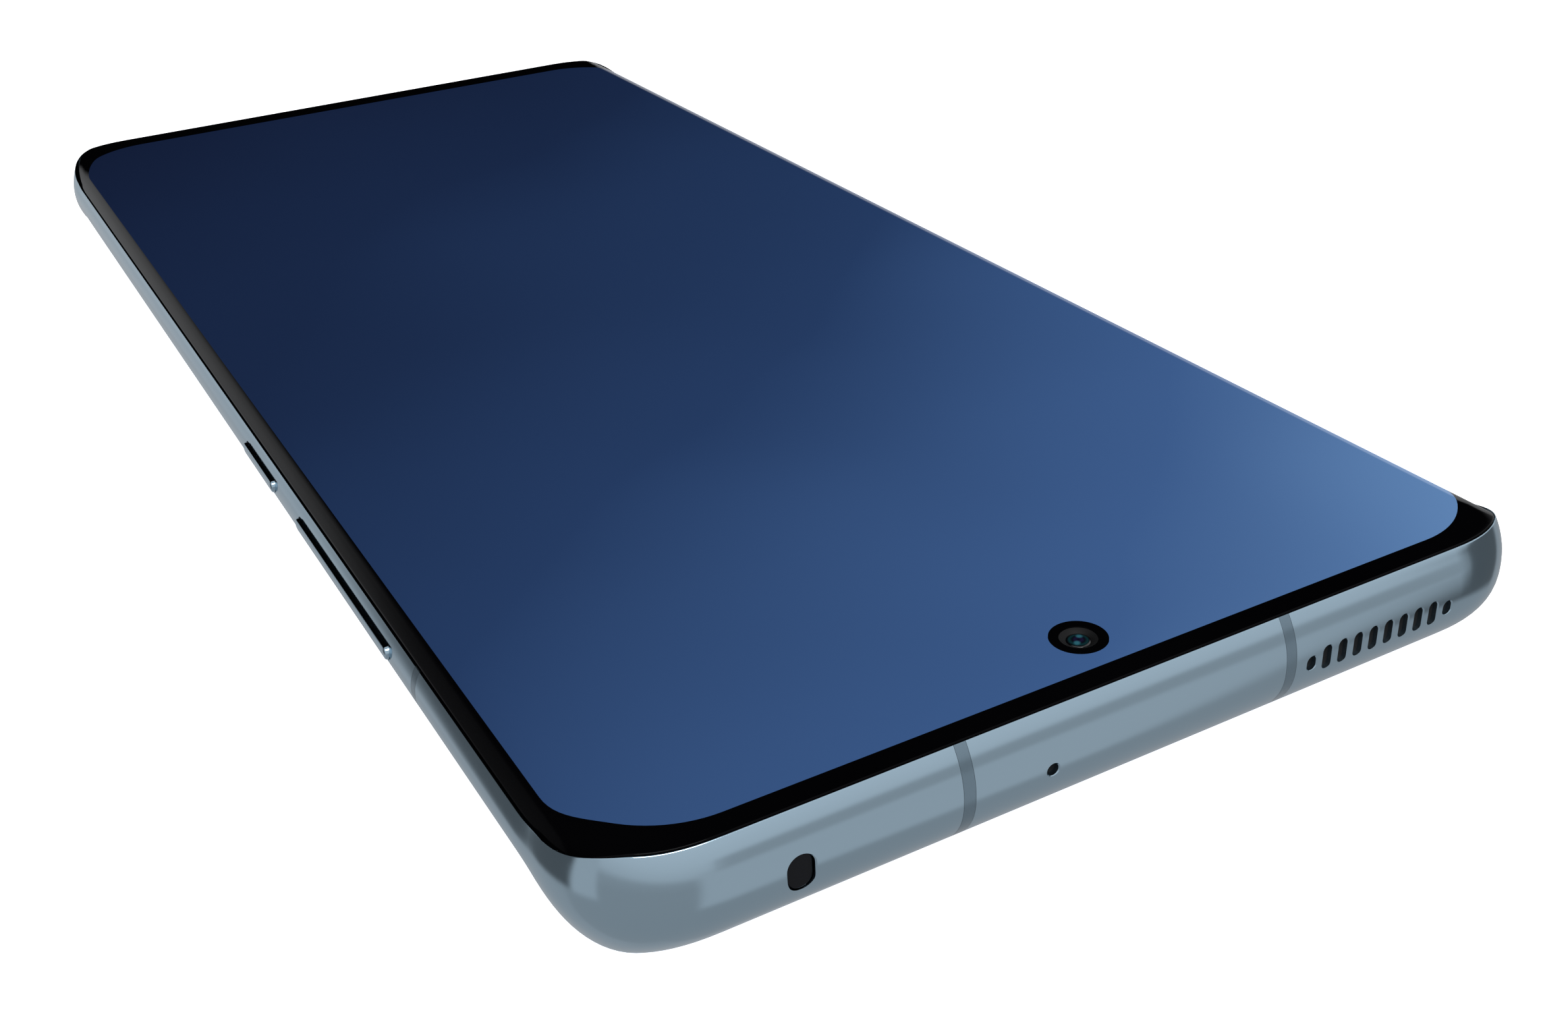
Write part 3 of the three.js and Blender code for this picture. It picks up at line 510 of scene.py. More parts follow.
def opening_cutters():
    shell = Shell()
    for speaker, facing in ((TOP_SPEAKER, 1), (BOTTOM_SPEAKER, -1)):
        for x, half in speaker_places(speaker):
            end_cutter(shell, x, HOLE_Z, half, facing)
    end_cutter(shell, node_middle("top_microphone").x, HOLE_Z, (MIC_RADIUS,) * 2, 1)
    end_cutter(shell, node_middle("bottom_microphone").x, HOLE_Z, (MIC_RADIUS,) * 2, -1)
    window = node_middle("emitter_window")
    half = half_sizes("emitter_window")
    end_cutter(shell, window.x, window.z, (half[0] + 0.04, half[1] + 0.04), 1)
    usb = node_middle("usb_shell")
    half = half_sizes("usb_shell")
    end_cutter(shell, usb.x, usb.z, (half[0] + 0.03, half[1] + 0.03), -1, chamfer=0.25)
    end_cutter(shell, TRAY_X, TRAY_Z, (TRAY_HALF[0] + KEY_GAP, TRAY_HALF[1] + KEY_GAP), -1, chamfer=0.06)
    for name in ("power_key", "volume_key"):
        side_cutter(shell, node_middle(name).y, KEY_Z, (key_half(name) + KEY_GAP, KEY_HALF + KEY_GAP))
    return shell.mesh()


def key_half(name):
    low, high = node_box(name)
    return (high.y - low.y) / 2 - KEY_FLANGE["extra"]


def block_mesh(low, high):
    corners = np.array([(low[0], low[1]), (high[0], low[1]), (high[0], high[1]), (low[0], high[1])])
    return solid_mesh([lifted(corners, z) for z in (low[2], high[2])])


BREAKS = ["aerial_break_" + place for place in (
    "top_right", "top_left", "bottom_right", "bottom_left", "right_side", "left_side")]


def break_block(name, grow):
    """The slab that divides the band at an aerial break, a little wider than the break by grow."""
    low, high = node_box(name)
    low, high = list(low), list(high)
    across = 1 if name.endswith("_side") else 0
    low[across] -= grow
    high[across] += grow
    for corner, sign in ((low, -1), (high, 1)):
        corner[2] += sign
        out = 1 - across
        if corner[out] * sign > 0:
            corner[out] += sign
        else:
            corner[out] -= sign * grow
    return block_mesh(low, high)


def keep_surface_normals(obj, source, reach=0.9):
    """Gives the faces that still lie on the uncut surface that surface's own smooth normals."""
    tree = BVHTree.FromPolygons([v.co for v in source.vertices], [p.vertices[:] for p in source.polygons])
    mesh = obj.data
    made = [n.vector.copy() for n in mesh.corner_normals]
    smooth_normals = [v.normal.copy() for v in source.vertices]
    for face in mesh.polygons:
        for loop in face.loop_indices:
            co = mesh.vertices[mesh.loops[loop].vertex_index].co
            place, _, index, distance = tree.find_nearest(co)
            if distance > 2e-6:
                continue
            corners = source.polygons[index].vertices
            weights = poly_3d_calc([source.vertices[i].co for i in corners], place)
            normal = sum((smooth_normals[i] * w for i, w in zip(corners, weights)), Vector()).normalized()
            if normal.dot(face.normal) > reach:
                made[loop] = normal
    mesh.normals_split_custom_set([tuple(n) for n in made])


def build_band():
    uncut = new_object("uncut_band", band_mesh())
    uncut.data.shade_smooth()
    uncut.data.set_sharp_from_angle(angle=math.radians(BAND_SHARP))
    band = new_object("mid_frame_band", uncut.data.copy())
    boolean(band, opening_cutters(), "DIFFERENCE")
    for name in BREAKS:
        boolean(band, break_block(name, 0.02), "DIFFERENCE")
        strip = new_object(name.replace("aerial_break", "aerial_strip"), uncut.data.copy())
        boolean(strip, break_block(name, 0.0), "INTERSECT")
        finish_cut(strip, uncut.data)
        dress(strip, "aerial_plastic", [name])
    finish_cut(band, uncut.data)
    dress(band, "frame_metal", ["mid_frame"])
    discard(uncut)


def finish_cut(obj, source):
    tidy_mesh(obj.data)
    obj.data.shade_smooth()
    obj.data.set_sharp_from_angle(angle=math.radians(BAND_SHARP))
    keep_surface_normals(obj, source)


# --- Keys, tray, socket and windows ------------------------------------------------------

def quarter_round(size, steps=5):
    """Insets and heights of a rounded edge, from the side wall to the face."""
    turns = [i / steps * math.pi / 2 for i in range(steps + 1)]
    return [(size * (1 - math.cos(a)), size * (math.sin(a) - 1)) for a in turns]


def shrunk(half, inset):
    return half[0] - inset, half[1] - inset


def key_mesh(name):
    """A key: its flange, its stem, and a slightly domed face with rounded edges."""
    low, high = node_box(name)
    stem = (key_half(name), KEY_HALF)
    flange = ((high.y - low.y) / 2, (high.z - low.z) / 2)
    collar = low.x + KEY_FLANGE["sheet"]
    sections = [(flange, low.x), (flange, collar), (stem, collar)]
    edge = high.x - KEY_DOME
    sections += [(shrunk(stem, inset), edge + drop) for inset, drop in quarter_round(KEY_ROUND)]
    sections += [(shrunk(stem, 0.24), edge + 0.6 * KEY_DOME), (shrunk(stem, 0.38), high.x)]
    y = node_middle(name).y
    return solid_mesh([across_side(slot_points(half, 12), y, KEY_Z, x) for half, x in sections])


def end_stack(x, z, facing, sections, steps=10):
    """Rings of a body that stands in an end wall: slots of given half sizes at given depths."""
    return [across_end(slot_points(half, steps), x, z, y, facing) for half, y in sections]


def tray_face():
    face = -TRAY_BOX[0].y
    sections = [(shrunk(TRAY_HALF, inset), face + drop) for inset, drop in quarter_round(0.12)]
    sections.append((TRAY_HALF, face - TRAY_DRAWER["face"]))
    order = sections[-2::-1] + sections[-1:]
    return solid_mesh(end_stack(TRAY_X, TRAY_Z, -1, order, steps=12))


def tray_cutters():
    """What is taken out of the tray: the card's bed, the window for the contacts, the pin hole."""
    bottom = TRAY_BOX[0].z
    bed = TRAY_BED
    left, right = TRAY_X - bed["half_width"], TRAY_X + bed["half_width"]
    shape = np.array([(left, bed["low"]), (right, bed["low"]), (right, bed["high"] - bed["notch"]),
                      (right - bed["notch"], bed["high"]), (left, bed["high"])])
    made = [solid_mesh([lifted(shape, bottom + bed["floor"]), lifted(shape, bottom + 3)])]
    window = TRAY_WINDOW
    low = (TRAY_X - window["half_width"], window["low"], bottom - 1)
    high = (TRAY_X + window["half_width"], window["high"], bottom + 1)
    made.append(block_mesh(low, high))
    face = -TRAY_BOX[0].y
    pin = (TRAY_PIN["radius"],) * 2
    wide = (pin[0] + 0.35,) * 2
    sections = [(wide, face + 0.25), (pin, face - 0.1), (pin, face - TRAY_PIN["depth"])]
    made.append(solid_mesh(end_stack(TRAY_X + TRAY_PIN["offset"], TRAY_Z, -1, sections)))
    return made


def tray_mesh():
    tray = new_object("tray", tray_face())
    bottom, inner = TRAY_BOX[0].z, TRAY_BOX[1].y
    half = (TRAY_DRAWER["half_width"], (inner - TRAY_BOX[0].y - 0.5) / 2)
    plan = outline(half, 0.8, steps=5, centre=(TRAY_X, inner - half[1]))[0]
    drawer = solid_mesh([lifted(plan, bottom), lifted(plan, bottom + TRAY_DRAWER["height"])])
    boolean(tray, drawer, "UNION")
    for cutter in tray_cutters():
        boolean(tray, cutter, "DIFFERENCE")
    tidy_mesh(tray.data)
    mesh = tray.data
    discard(tray)
    return mesh


def gauze_mesh(places, facing):
    """The black dust cloth that fills sound openings a little behind their rims; its near-black colour also
    serves as painted shade for the dark inside of the openings.
    """
    shell = Shell()
    front = HALF_LENGTH - GAUZE_DEPTH
    for x, half in places:
        shell.solid(end_stack(x, HOLE_Z, facing, [(half, front), (shrunk(half, 0.02), front - 1)]))
    return shell.mesh()


def usb_mesh():
    """The socket's shell: a drawn tube with a rounded mouth and a closed back."""
    low, high = node_box("usb_shell")
    half = half_sizes("usb_shell")
    wall, lip = 0.3, 0.1
    mouth, back = -low.y, -high.y
    inner = shrunk(half, wall)
    sections = [(half, back), (half, mouth - lip), (shrunk(half, lip * 0.3), mouth - lip * 0.3),
                (shrunk(half, lip), mouth), (shrunk(inner, -lip), mouth),
                (shrunk(inner, -lip * 0.3), mouth - lip * 0.3),
                (inner, mouth - lip), (inner, back + wall)]
    return solid_mesh(end_stack(0, node_middle("usb_shell").z, -1, sections, steps=12))


def tongue_mesh():
    """The socket's tongue: a thin plate with a bevelled front edge and a thicker root."""
    low, high = node_box("usb_tongue")
    half = half_sizes("usb_tongue")
    z = node_middle("usb_tongue").z
    front, back = -low.y, -high.y
    thin = (half[0], half[1] - 0.05)
    steps = [(shrunk(thin, 0.12), front), (thin, front - 0.15), (thin, back + 1.2), (half, back + 1.1),
             (half, back)]
    return solid_mesh([across_end(outline(h, 0.1, steps=3)[0], 0, z, y, -1) for h, y in steps])


def contacts_mesh():
    """Twelve gilt contact strips on each face of the tongue."""
    low, high = node_box("usb_tongue")
    z, half = node_middle("usb_tongue").z, (high.z - low.z) / 2 - 0.05
    pitch, width, sheet = 0.5, 0.25, 0.03
    shell = Shell()
    for facing in (1, -1):
        for i in range(12):
            x = (i - 5.5) * pitch
            plan = outline((width / 2, 1.4), 0.05, steps=2, centre=(x, low.y + 2.0))[0]
            top = facing * (half + sheet)
            shell.solid([lifted(plan, z + facing * (half - 0.1)), lifted(plan, z + top)])
    return shell.mesh()


def emitter_mesh():
    """The dark window over the emitter, with a polished edge."""
    low, high = node_box("emitter_window")
    half = half_sizes("emitter_window")
    sections = [(half, low.y)]
    sections += [(shrunk(half, inset), high.y + drop) for inset, drop in quarter_round(0.1, 4)]
    middle = node_middle("emitter_window")
    return solid_mesh(end_stack(middle.x, middle.z, 1, sections, steps=12))


# --- Round pieces ------------------------------------------------------------------------

def revolved(centre, profile, ring=False):
    """A body of revolution about an upright axis, from (radius, height) pairs. A ring's profile
    closes on itself; otherwise both ends are at the axis."""
    rings = [lifted(circle(r, centre), z) for r, z in profile]
    if not ring:
        return solid_mesh(rings)
    shell = Shell()
    made = shell.loft(rings)
    shell.bridge(made[-1], made[0])
    return shell.mesh()


def dome_profile(radius, edge, top, back, steps=7):
    """A lens: a dome from its top at the axis to its edge, and a flat back."""
    profile = []
    for i in range(steps + 1):
        a = i / steps * math.pi / 2
        profile.append((max(AXIS, radius * math.sin(a)), edge + (top - edge) * math.cos(a)))
    return profile + [(radius, back), (AXIS, back)]


def trim_profile(outer, inner, face, back):
    """A trim ring with rounded edges on the side that shows."""
    small = 0.1
    return [(outer, back), (outer, face + small), (outer - 0.1, face), (inner + 0.18, face),
            (inner + 0.05, face + small), (inner, face + 2 * small), (inner, back)]


def baffle_profile(outer, inner, face, depth, steps, back):
    """A lens barrel: a flat rim, then steps that go down to the front lens."""
    profile = [(AXIS, back), (outer, back), (outer, face + 0.1), (outer - 0.1, face)]
    width = (outer - 0.5 - inner) / steps
    for i in range(steps):
        r = outer - 0.5 - i * width
        z = face + i * depth / steps
        profile += [(r, z), (r - 0.06, z + depth / steps * 0.7), (r - width + 0.02, z + depth / steps)]
    return profile + [(inner, face + depth + 0.05), (AXIS, face + depth + 0.05)]


def flash_profile(radius, face, back):
    """A flash lens with ring-shaped ridges."""
    profile = [(AXIS, back), (radius, back), (radius, face + 0.1), (radius - 0.1, face)]
    ridges = 7
    for i in range(ridges):
        r = (radius - 0.25) * (1 - i / ridges)
        profile += [(r, face), (r - 0.1, face + 0.09)]
    return profile + [(AXIS, face + 0.05)]


def camera_holes(shell, which, low, high):
    """The cameras' round openings: their rings at two heights, joined by their walls."""
    lows, highs = [], []
    for name, radii in CAMERAS.items():
        hole = circle(radii[which], node_middle(name))
        lows.append(shell.ring(lifted(hole, low)))
        highs.append(shell.ring(lifted(hole, high)))
        shell.bridge(lows[-1], highs[-1])
    return lows, highs


def island_mesh():
    """The camera island: a rounded frame with a sunk plate that the cameras look through."""
    shell = Shell()
    top, step = ISLAND_BOX[1].z, ISLAND_BOX[1].z - 0.2
    rings = [(-ISLAND_FLANGE, top), (-ISLAND_FLANGE, step), (0, step)]
    rings += [(inset, ISLAND_OUTER - drop) for inset, drop in quarter_round(ISLAND_ROUND, 7)]
    rings += [(ISLAND_RIM - 0.08, ISLAND_OUTER), (ISLAND_RIM, ISLAND_OUTER + 0.08),
              (ISLAND_RIM, ISLAND_PLATE[0])]
    made = shell.loft([lifted(island_outline(inset), z) for inset, z in rings])
    inner = [lifted(island_outline(ISLAND_WALL), z) for z in (ISLAND_PLATE[1], top)]
    hidden = shell.loft(inner)
    shell.bridge(hidden[1], made[0])
    lows, highs = camera_holes(shell, 0, *ISLAND_PLATE)
    shell.plate(made[-1], lows)
    shell.plate(hidden[0], highs, flip=True)
    return shell.mesh()


def cover_mesh():
    """The glass over the cameras, with a round opening for each one's trim ring."""
    low, high = node_box("camera_cover_glass")
    inset = ISLAND_RIM + 0.06
    rings = [(inset, high.z)]
    rings += [(inset + add, low.z - drop) for add, drop in quarter_round(0.12, 4)]
    shell = Shell()
    made = shell.loft([lifted(island_outline(i), z) for i, z in rings])
    fronts, backs = camera_holes(shell, 1, low.z, high.z)
    shell.plate(made[-1], fronts)
    shell.plate(made[0], backs, flip=True)
    return shell.mesh()


def plate_mesh():
    """The frame's middle plate, with openings for the front camera, the sensor and a cable."""
    shell = Shell()
    plan = outline(WALL["half"], WALL["radius"], WALL["exponent"], grow=0.5, steps=10)[0]
    sensor = node_middle("fingerprint_sensor")
    cable = node_middle("display_flex")
    holes = [circle(2.4, PUNCH, 28),
             outline((4.4, 4.4), 0.5, steps=4, centre=(sensor.x, sensor.y))[0],
             outline((12.6, 0.65), 0.3, steps=4, centre=(cable.x, -57.1))[0]]
    rings = []
    for z in PLATE_HEIGHTS:
        rings.append([shell.ring(lifted(shape, z)) for shape in [plan] + holes])
    for low, high in zip(*rings):
        shell.bridge(low, high)
    shell.plate(rings[0][0], rings[0][1:], flip=True)
    shell.plate(rings[1][0], rings[1][1:])
    return shell.mesh()


def boss_mesh():
    """The threaded bosses under the middle plate that the six screws go into."""
    shell = Shell()
    for i in range(1, 7):
        place = node_middle(f"screw_{i}")
        profile = [(1.5, PLATE_HEIGHTS[0] + 0.1), (1.5, 1.75), (1.45, 1.7), (0.85, 1.7), (0.78, 1.77),
                   (0.78, 4.6)]
        shell.solid([lifted(circle(r, place, 24), z) for r, z in profile])
    return shell.mesh()


# --- Materials ---------------------------------------------------------------------------

def srgb(r, g, b):
    """A display colour, 0 to 255, as the linear one that a shader takes."""
    def channel(value):
        c = value / 255
        return c / 12.92 if c <= 0.04045 else ((c + 0.055) / 1.055) ** 2.4
    return (channel(r), channel(g), channel(b), 1)


class Graph:
    """A node tree of a new material or of the world, with short calls for its nodes."""

    def __init__(self, name, world=None):
        self.material = world or bpy.data.materials.new(name)
        self.material.use_nodes = True
        self.tree = self.material.node_tree
        coordinates = self.node("ShaderNodeTexCoord").outputs
        self.place = coordinates["Generated" if world else "Object"]
        self.shader = None if world else self.tree.nodes["Principled BSDF"]

    def node(self, kind, **settings):
        made = self.tree.nodes.new(kind)
        for key, value in settings.items():
            setattr(made, key, value)
        return made

    def link(self, value, socket):
        if isinstance(value, bpy.types.NodeSocket):
            self.tree.links.new(value, socket)
        else:
            socket.default_value = value

    def set(self, **values):
        for key, value in values.items():
            self.link(value, self.shader.inputs[key.replace("_", " ")])

    def math(self, operation, a, b=0.0):
        made = self.node("ShaderNodeMath", operation=operation)
        self.link(a, made.inputs[0])
        self.link(b, made.inputs[1])
        return made.outputs[0]

    def wave(self, value, pitch):
        """A sine wave along a value, from -1 to 1."""
        return self.math("SINE", self.math("MULTIPLY", value, 2 * math.pi / pitch))

    def split(self, vector):
        made = self.node("ShaderNodeSeparateXYZ")
        self.link(vector, made.inputs[0])
        return made.outputs

    def stretch(self, scale):
        made = self.node("ShaderNodeMapping")
        self.link(self.place, made.inputs["Vector"])
        made.inputs["Scale"].default_value = scale
        return made.outputs[0]

    def noise(self, scale, detail=3.0, vector=None):
        made = self.node("ShaderNodeTexNoise")
        self.link(vector or self.place, made.inputs["Vector"])
        made.inputs["Scale"].default_value = scale
        made.inputs["Detail"].default_value = detail
        return made.outputs[0]

    def range(self, value, low, high, to_low, to_high, smooth_step=False):
        kind = "SMOOTHSTEP" if smooth_step else "LINEAR"
        made = self.node("ShaderNodeMapRange", interpolation_type=kind)
        for socket, given in zip(made.inputs, (value, low, high, to_low, to_high)):
            self.link(given, socket)
        return made.outputs[0]

    def mix(self, factor, a, b):
        made = self.node("ShaderNodeMix", data_type="RGBA")
        self.link(factor, made.inputs[0])
        self.link(a, made.inputs[6])
        self.link(b, made.inputs[7])
        return made.outputs[2]

    def ramp(self, value, stops):
        made = self.node("ShaderNodeValToRGB")
        ramp = made.color_ramp
        while len(ramp.elements) < len(stops):
            ramp.elements.new(0.5)
        for element, (place, colour) in zip(ramp.elements, stops):
            element.position = place
            element.color = colour
        self.link(value, made.inputs[0])
        return made.outputs[0]

    def rough(self, noise, low, high):
        """Roughness that follows a noise."""
        self.set(Roughness=self.range(noise, 0.3, 0.7, low, high))

    def bump(self, height, strength, distance):
        made = self.node("ShaderNodeBump")
        made.inputs["Strength"].default_value = strength
        made.inputs["Distance"].default_value = distance
        self.link(height, made.inputs["Height"])
        self.link(made.outputs[0], self.shader.inputs["Normal"])


def tinted(graph, colour, spread, factor):
    """A colour that varies a little, darker and lighter, by a factor from 0 to 1."""
    dark = tuple(c * (1 - spread) for c in colour[:3]) + (1,)
    light = tuple(min(1, c * (1 + spread)) for c in colour[:3]) + (1,)
    return graph.mix(factor, dark, light)


def grained(name, colour, rough, metallic=0.0, grain=2500.0, spread=0.06, rough_spread=0.06,
            bump=0.08, depth=1e-5, stretch=None, **more):
    """A finish with a fine grain: colour, roughness and bump all follow the same noise."""
    g = Graph(name)
    fine = g.noise(grain, 4, g.stretch(stretch) if stretch else None)
    both = g.mix(0.5, fine, g.noise(90, 3))
    g.set(Base_Color=tinted(g, colour, spread, both), Metallic=metallic, **more)
    g.rough(both, rough - rough_spread, rough + rough_spread)
    g.bump(fine, bump, depth)
    return g.material


METAL_COLOUR = (0.43, 0.57, 0.67, 1)


def frame_metal():
    """Satin anodised metal: a fine blasted grain, with faint streaks along the band."""
    g = Graph("frame_metal")
    grain = g.noise(3000, 2)
    streaks = g.noise(160, 3, g.stretch((0.25, 0.25, 6)))
    both = g.mix(0.7, grain, streaks)
    g.set(Base_Color=tinted(g, METAL_COLOUR, 0.02, both), Metallic=1.0)
    g.rough(both, 0.1, 0.15)
    g.bump(streaks, 0.01, 1e-5)
    return g.material


def hazy_glass(g, scale, dark, light, rough, level):
    """Polished glass over a dark ground, with the faintest haze. level is how strongly it mirrors."""
    haze = g.noise(scale, 3)
    g.set(Base_Color=g.mix(haze, srgb(*dark), srgb(*light)))
    g.rough(haze, *rough)
    g.set(IOR=1.5, Specular_IOR_Level=level)
    return g.material


def black_glass():
    """Glass printed black on the inside."""
    g = Graph("black_glass")
    g.bump(g.noise(30, 2), 0.01, 1e-5)
    return hazy_glass(g, 60, (1, 1, 2), (5, 5, 6), (0.03, 0.06), 0.06)


# The picture: a plain gradient from one corner of the screen to the other, dark to light.
PICTURE_BLUES = [(0.0, (18, 28, 53)), (0.35, (24, 39, 69)), (0.62, (36, 58, 96)), (0.84, (60, 91, 139)),
                 (1.0, (96, 133, 180))]


def distance(g, centre):
    """Metres from a point, seen from the front or the back."""
    x, y, _ = g.split(g.place)
    dx = g.math("SUBTRACT", x, centre[0] * MM)
    dy = g.math("SUBTRACT", y, centre[1] * MM)
    return g.math("SQRT", g.math("ADD", g.math("MULTIPLY", dx, dx), g.math("MULTIPLY", dy, dy)))


def picture():
    """A lit screen with a plain blue gradient, slightly uneven."""
    g = Graph("display_picture")
    x, y, _ = g.split(g.place)
    side = ACTIVE["half_width"] * MM
    across = g.range(x, -side, side, 0.3, 0)
    along = g.range(y, ACTIVE["low"] * MM, ACTIVE["high"] * MM, 0, 0.7)
    cloud = g.range(g.noise(14, 2), 0.3, 0.7, -0.05, 0.05)
    place = g.math("ADD", g.math("ADD", across, along), cloud)
    colour = g.ramp(place, [(stop, srgb(*blue)) for stop, blue in PICTURE_BLUES])
    g.set(Emission_Color=colour, Emission_Strength=1.0)
    return hazy_glass(g, 45, (1, 1, 2), (3, 3, 4), (0.03, 0.06), 0.2)


def dark_glass():
    """Polished dark glass over a camera or a lamp, a little lighter than the printed border."""
    g = Graph("dark_glass")
    g.bump(g.noise(40, 2), 0.01, 1e-5)
    return hazy_glass(g, 80, (3, 4, 6), (9, 10, 14), (0.04, 0.08), 0.14)


def lens_coating(name, centre, radius, painted_glints=()):
    """A coated lens: nearly black, with a violet ring, a green one and soft glints painted into its colour as
    painted highlights.
    """
    g = Graph(name)
    out = g.math("DIVIDE", distance(g, centre), radius * MM)
    wobble = g.math("ADD", out, g.range(g.noise(600, 2), 0.3, 0.7, -0.03, 0.03))
    colour = g.ramp(wobble, [
        (0.0, srgb(8, 10, 20)), (0.28, srgb(26, 20, 48)), (0.5, srgb(10, 14, 22)), (0.72, srgb(14, 46, 50)),
        (0.88, srgb(8, 10, 14)), (1.0, srgb(3, 3, 4))])
    # Painted highlights: each glint is a light spot mixed into the base colour, not a reflection.
    for place, size, tint in painted_glints:
        near = g.range(distance(g, place), 0.3 * size * MM, size * MM, 1, 0, True)
        colour = g.mix(near, colour, tint)
    g.set(Base_Color=colour, Coat_Weight=0.6, Coat_Roughness=0.03)
    g.set(Roughness=g.range(wobble, 0, 1, 0.05, 0.12))
    g.bump(g.noise(300, 2), 0.01, 1e-5)
    return g.material


# --- Finishes of the inner pieces --------------------------------------------------------

def board_finish():
    """Green solder mask with fine traces under it and small gilt pads."""
    g = Graph("board")
    traces = g.math("SINE", g.math("MULTIPLY", g.math("ADD", *g.split(g.place)[:2]), 9000))
    cells = g.node("ShaderNodeTexVoronoi", distance="CHEBYCHEV")
    cells.inputs["Scale"].default_value = 520
    g.link(g.place, cells.inputs["Vector"])
    pads = g.range(cells.outputs["Distance"], 0.14, 0.17, 1, 0)
    green = g.mix(g.range(traces, 0.2, 0.6, 0, 1), srgb(14, 58, 40), srgb(22, 80, 52))
    g.set(Base_Color=g.mix(pads, green, srgb(214, 176, 96)), Metallic=pads)
    g.rough(g.noise(400, 3), 0.3, 0.5)
    g.bump(g.math("ADD", traces, pads), 0.2, 1e-5)
    return g.material


def coil_finish():
    """Enamelled copper: wound wire round the coil's middle, seen as fine rings."""
    g = Graph("copper")
    rings = g.wave(distance(g, node_middle("charging_coil")), 0.0006)
    shade = g.range(rings, -1, 1, 0, 1)
    g.set(Base_Color=g.mix(shade, srgb(110, 56, 26), srgb(206, 128, 72)), Metallic=0.95)
    g.rough(g.noise(900, 3), 0.25, 0.4)
    g.bump(rings, 0.5, 5e-5)
    return g.material


def flex_finish():
    """Amber polyimide film over straight copper tracks."""
    g = Graph("flex")
    tracks = g.wave(g.split(g.place)[0], 0.0007)
    shade = g.range(tracks, -0.3, 0.3, 0, 1)
    g.set(Base_Color=g.mix(shade, srgb(122, 66, 18), srgb(186, 116, 44)))
    g.rough(g.noise(500, 3), 0.3, 0.45)
    g.bump(tracks, 0.3, 2e-5)
    return g.material


def mesh_finish():
    """A woven screen: fine dark holes between steel wires."""
    g = Graph("grille_mesh")
    x, _, z = g.split(g.place)
    pitch = 0.00024
    weave = g.math("MULTIPLY", g.wave(x, pitch), g.wave(z, pitch))
    holes = g.range(weave, 0.1, 0.4, 1, 0)
    g.set(Base_Color=g.mix(holes, srgb(4, 4, 5), srgb(70, 74, 80)), Metallic=0.8)
    g.rough(g.noise(700, 2), 0.4, 0.55)
    g.bump(holes, 0.5, 3e-5)
    return g.material


def ring_finish(name, centre, pitch, low, high, rough, metallic=0.0):
    """A turned or moulded face with fine rings about a centre."""
    g = Graph(name)
    rings = g.wave(distance(g, centre), pitch * MM)
    grain = g.noise(1500, 3)
    both = g.math("ADD", g.range(rings, -1, 1, 0, 0.5), g.range(grain, 0.3, 0.7, 0, 0.5))
    g.set(Base_Color=g.mix(both, low, high), Metallic=metallic)
    g.set(Roughness=g.range(both, 0, 1, rough - 0.06, rough + 0.06), Specular_IOR_Level=0.2)
    g.bump(both, 0.1, 1e-5)
    return g.material


def finishes():
    """One finish for each of the record's material slots."""
    return dict(
        frame_metal=frame_metal(),
        front_glass=black_glass(),
        display=picture(),
        back_glass=grained("back_glass", srgb(112, 146, 176), 0.3, grain=2600, spread=0.03,
                           rough_spread=0.03, bump=0.03, Coat_Weight=0.15, Coat_Roughness=0.25),
        aerial_plastic=grained("aerial_plastic", (0.22, 0.30, 0.36, 1), 0.16, 0.95, grain=2500, spread=0.02,
                               rough_spread=0.03, bump=0.0),
        dark_glass=dark_glass(),
        module_black=grained("module_black", srgb(20, 21, 23), 0.5, grain=1800, bump=0.15),
        lens_glass=dark_glass(),
        lamp=grained("lamp", srgb(226, 206, 120), 0.35, grain=1500, Coat_Weight=0.5),
        copper=coil_finish(),
        flex=flex_finish(),
        grille_mesh=mesh_finish(),
        steel=grained("steel", srgb(182, 185, 190), 0.34, 1.0, grain=1400, stretch=(0.2, 3, 3)),
        screw_steel=grained("screw_steel", srgb(150, 154, 160), 0.3, 1.0, grain=2200),
        tungsten=grained("tungsten", srgb(112, 114, 120), 0.42, 1.0, grain=900),
        board=board_finish(),
        bracket_plastic=grained("bracket_plastic", srgb(24, 25, 28), 0.6, grain=1200, bump=0.3),
        battery_pouch=grained("battery_pouch", srgb(40, 42, 47), 0.38, 0.3, grain=260, bump=0.25, depth=6e-5),
        tape=grained("tape", srgb(205, 208, 212), 0.55, grain=600),
        ferrite=grained("ferrite", srgb(46, 47, 50), 0.5, 0.2, grain=1600),
    )


FINISHES = finishes()


def paint_node(name, material):
    """Gives a CAD node that stays as it is a procedural finish."""
    node = frame["nodes"][name]
    if not node.material_slots:
        node.data.materials.append(material)
    for place in node.material_slots:
        place.link = "OBJECT"
        place.material = material


# --- Stage -------------------------------------------------------------------------------

CAMERA_PLACE = (61.067, 149.859, 70.622)
CAMERA_RIGHT = (-0.86909, 0.49293, -0.04123)
CAMERA_UP = (-0.26993, -0.40275, 0.87460)
CAMERA_LENS = 40.156


def make_camera():
    data = bpy.data.cameras.new("camera")
    data.lens = CAMERA_LENS
    data.sensor_width = 36
    data.clip_start, data.clip_end = 0.001, 20
    camera = new_object("camera", data)
    right, up = Vector(CAMERA_RIGHT), Vector(CAMERA_UP)
    turn = Matrix((right, up, right.cross(up))).transposed()
    camera.matrix_world = Matrix.Translation(Vector(CAMERA_PLACE) * MM) @ turn.to_4x4()
    bpy.context.scene.camera = camera


def make_floor():
    reach, top = 6000, ISLAND_OUTER - 0.02
    floor = new_object("floor", block_mesh((-reach, -reach, top - 5), (reach, reach, top)))
    g = Graph("floor")
    grain = g.noise(20, 3)
    g.set(Base_Color=g.mix(grain, srgb(235, 236, 238), srgb(240, 241, 242)), Roughness=0.9)
    g.set(Emission_Color=srgb(255, 255, 255), Emission_Strength=0.95)
    floor.data.materials.append(g.material)
    floor.visible_glossy = False


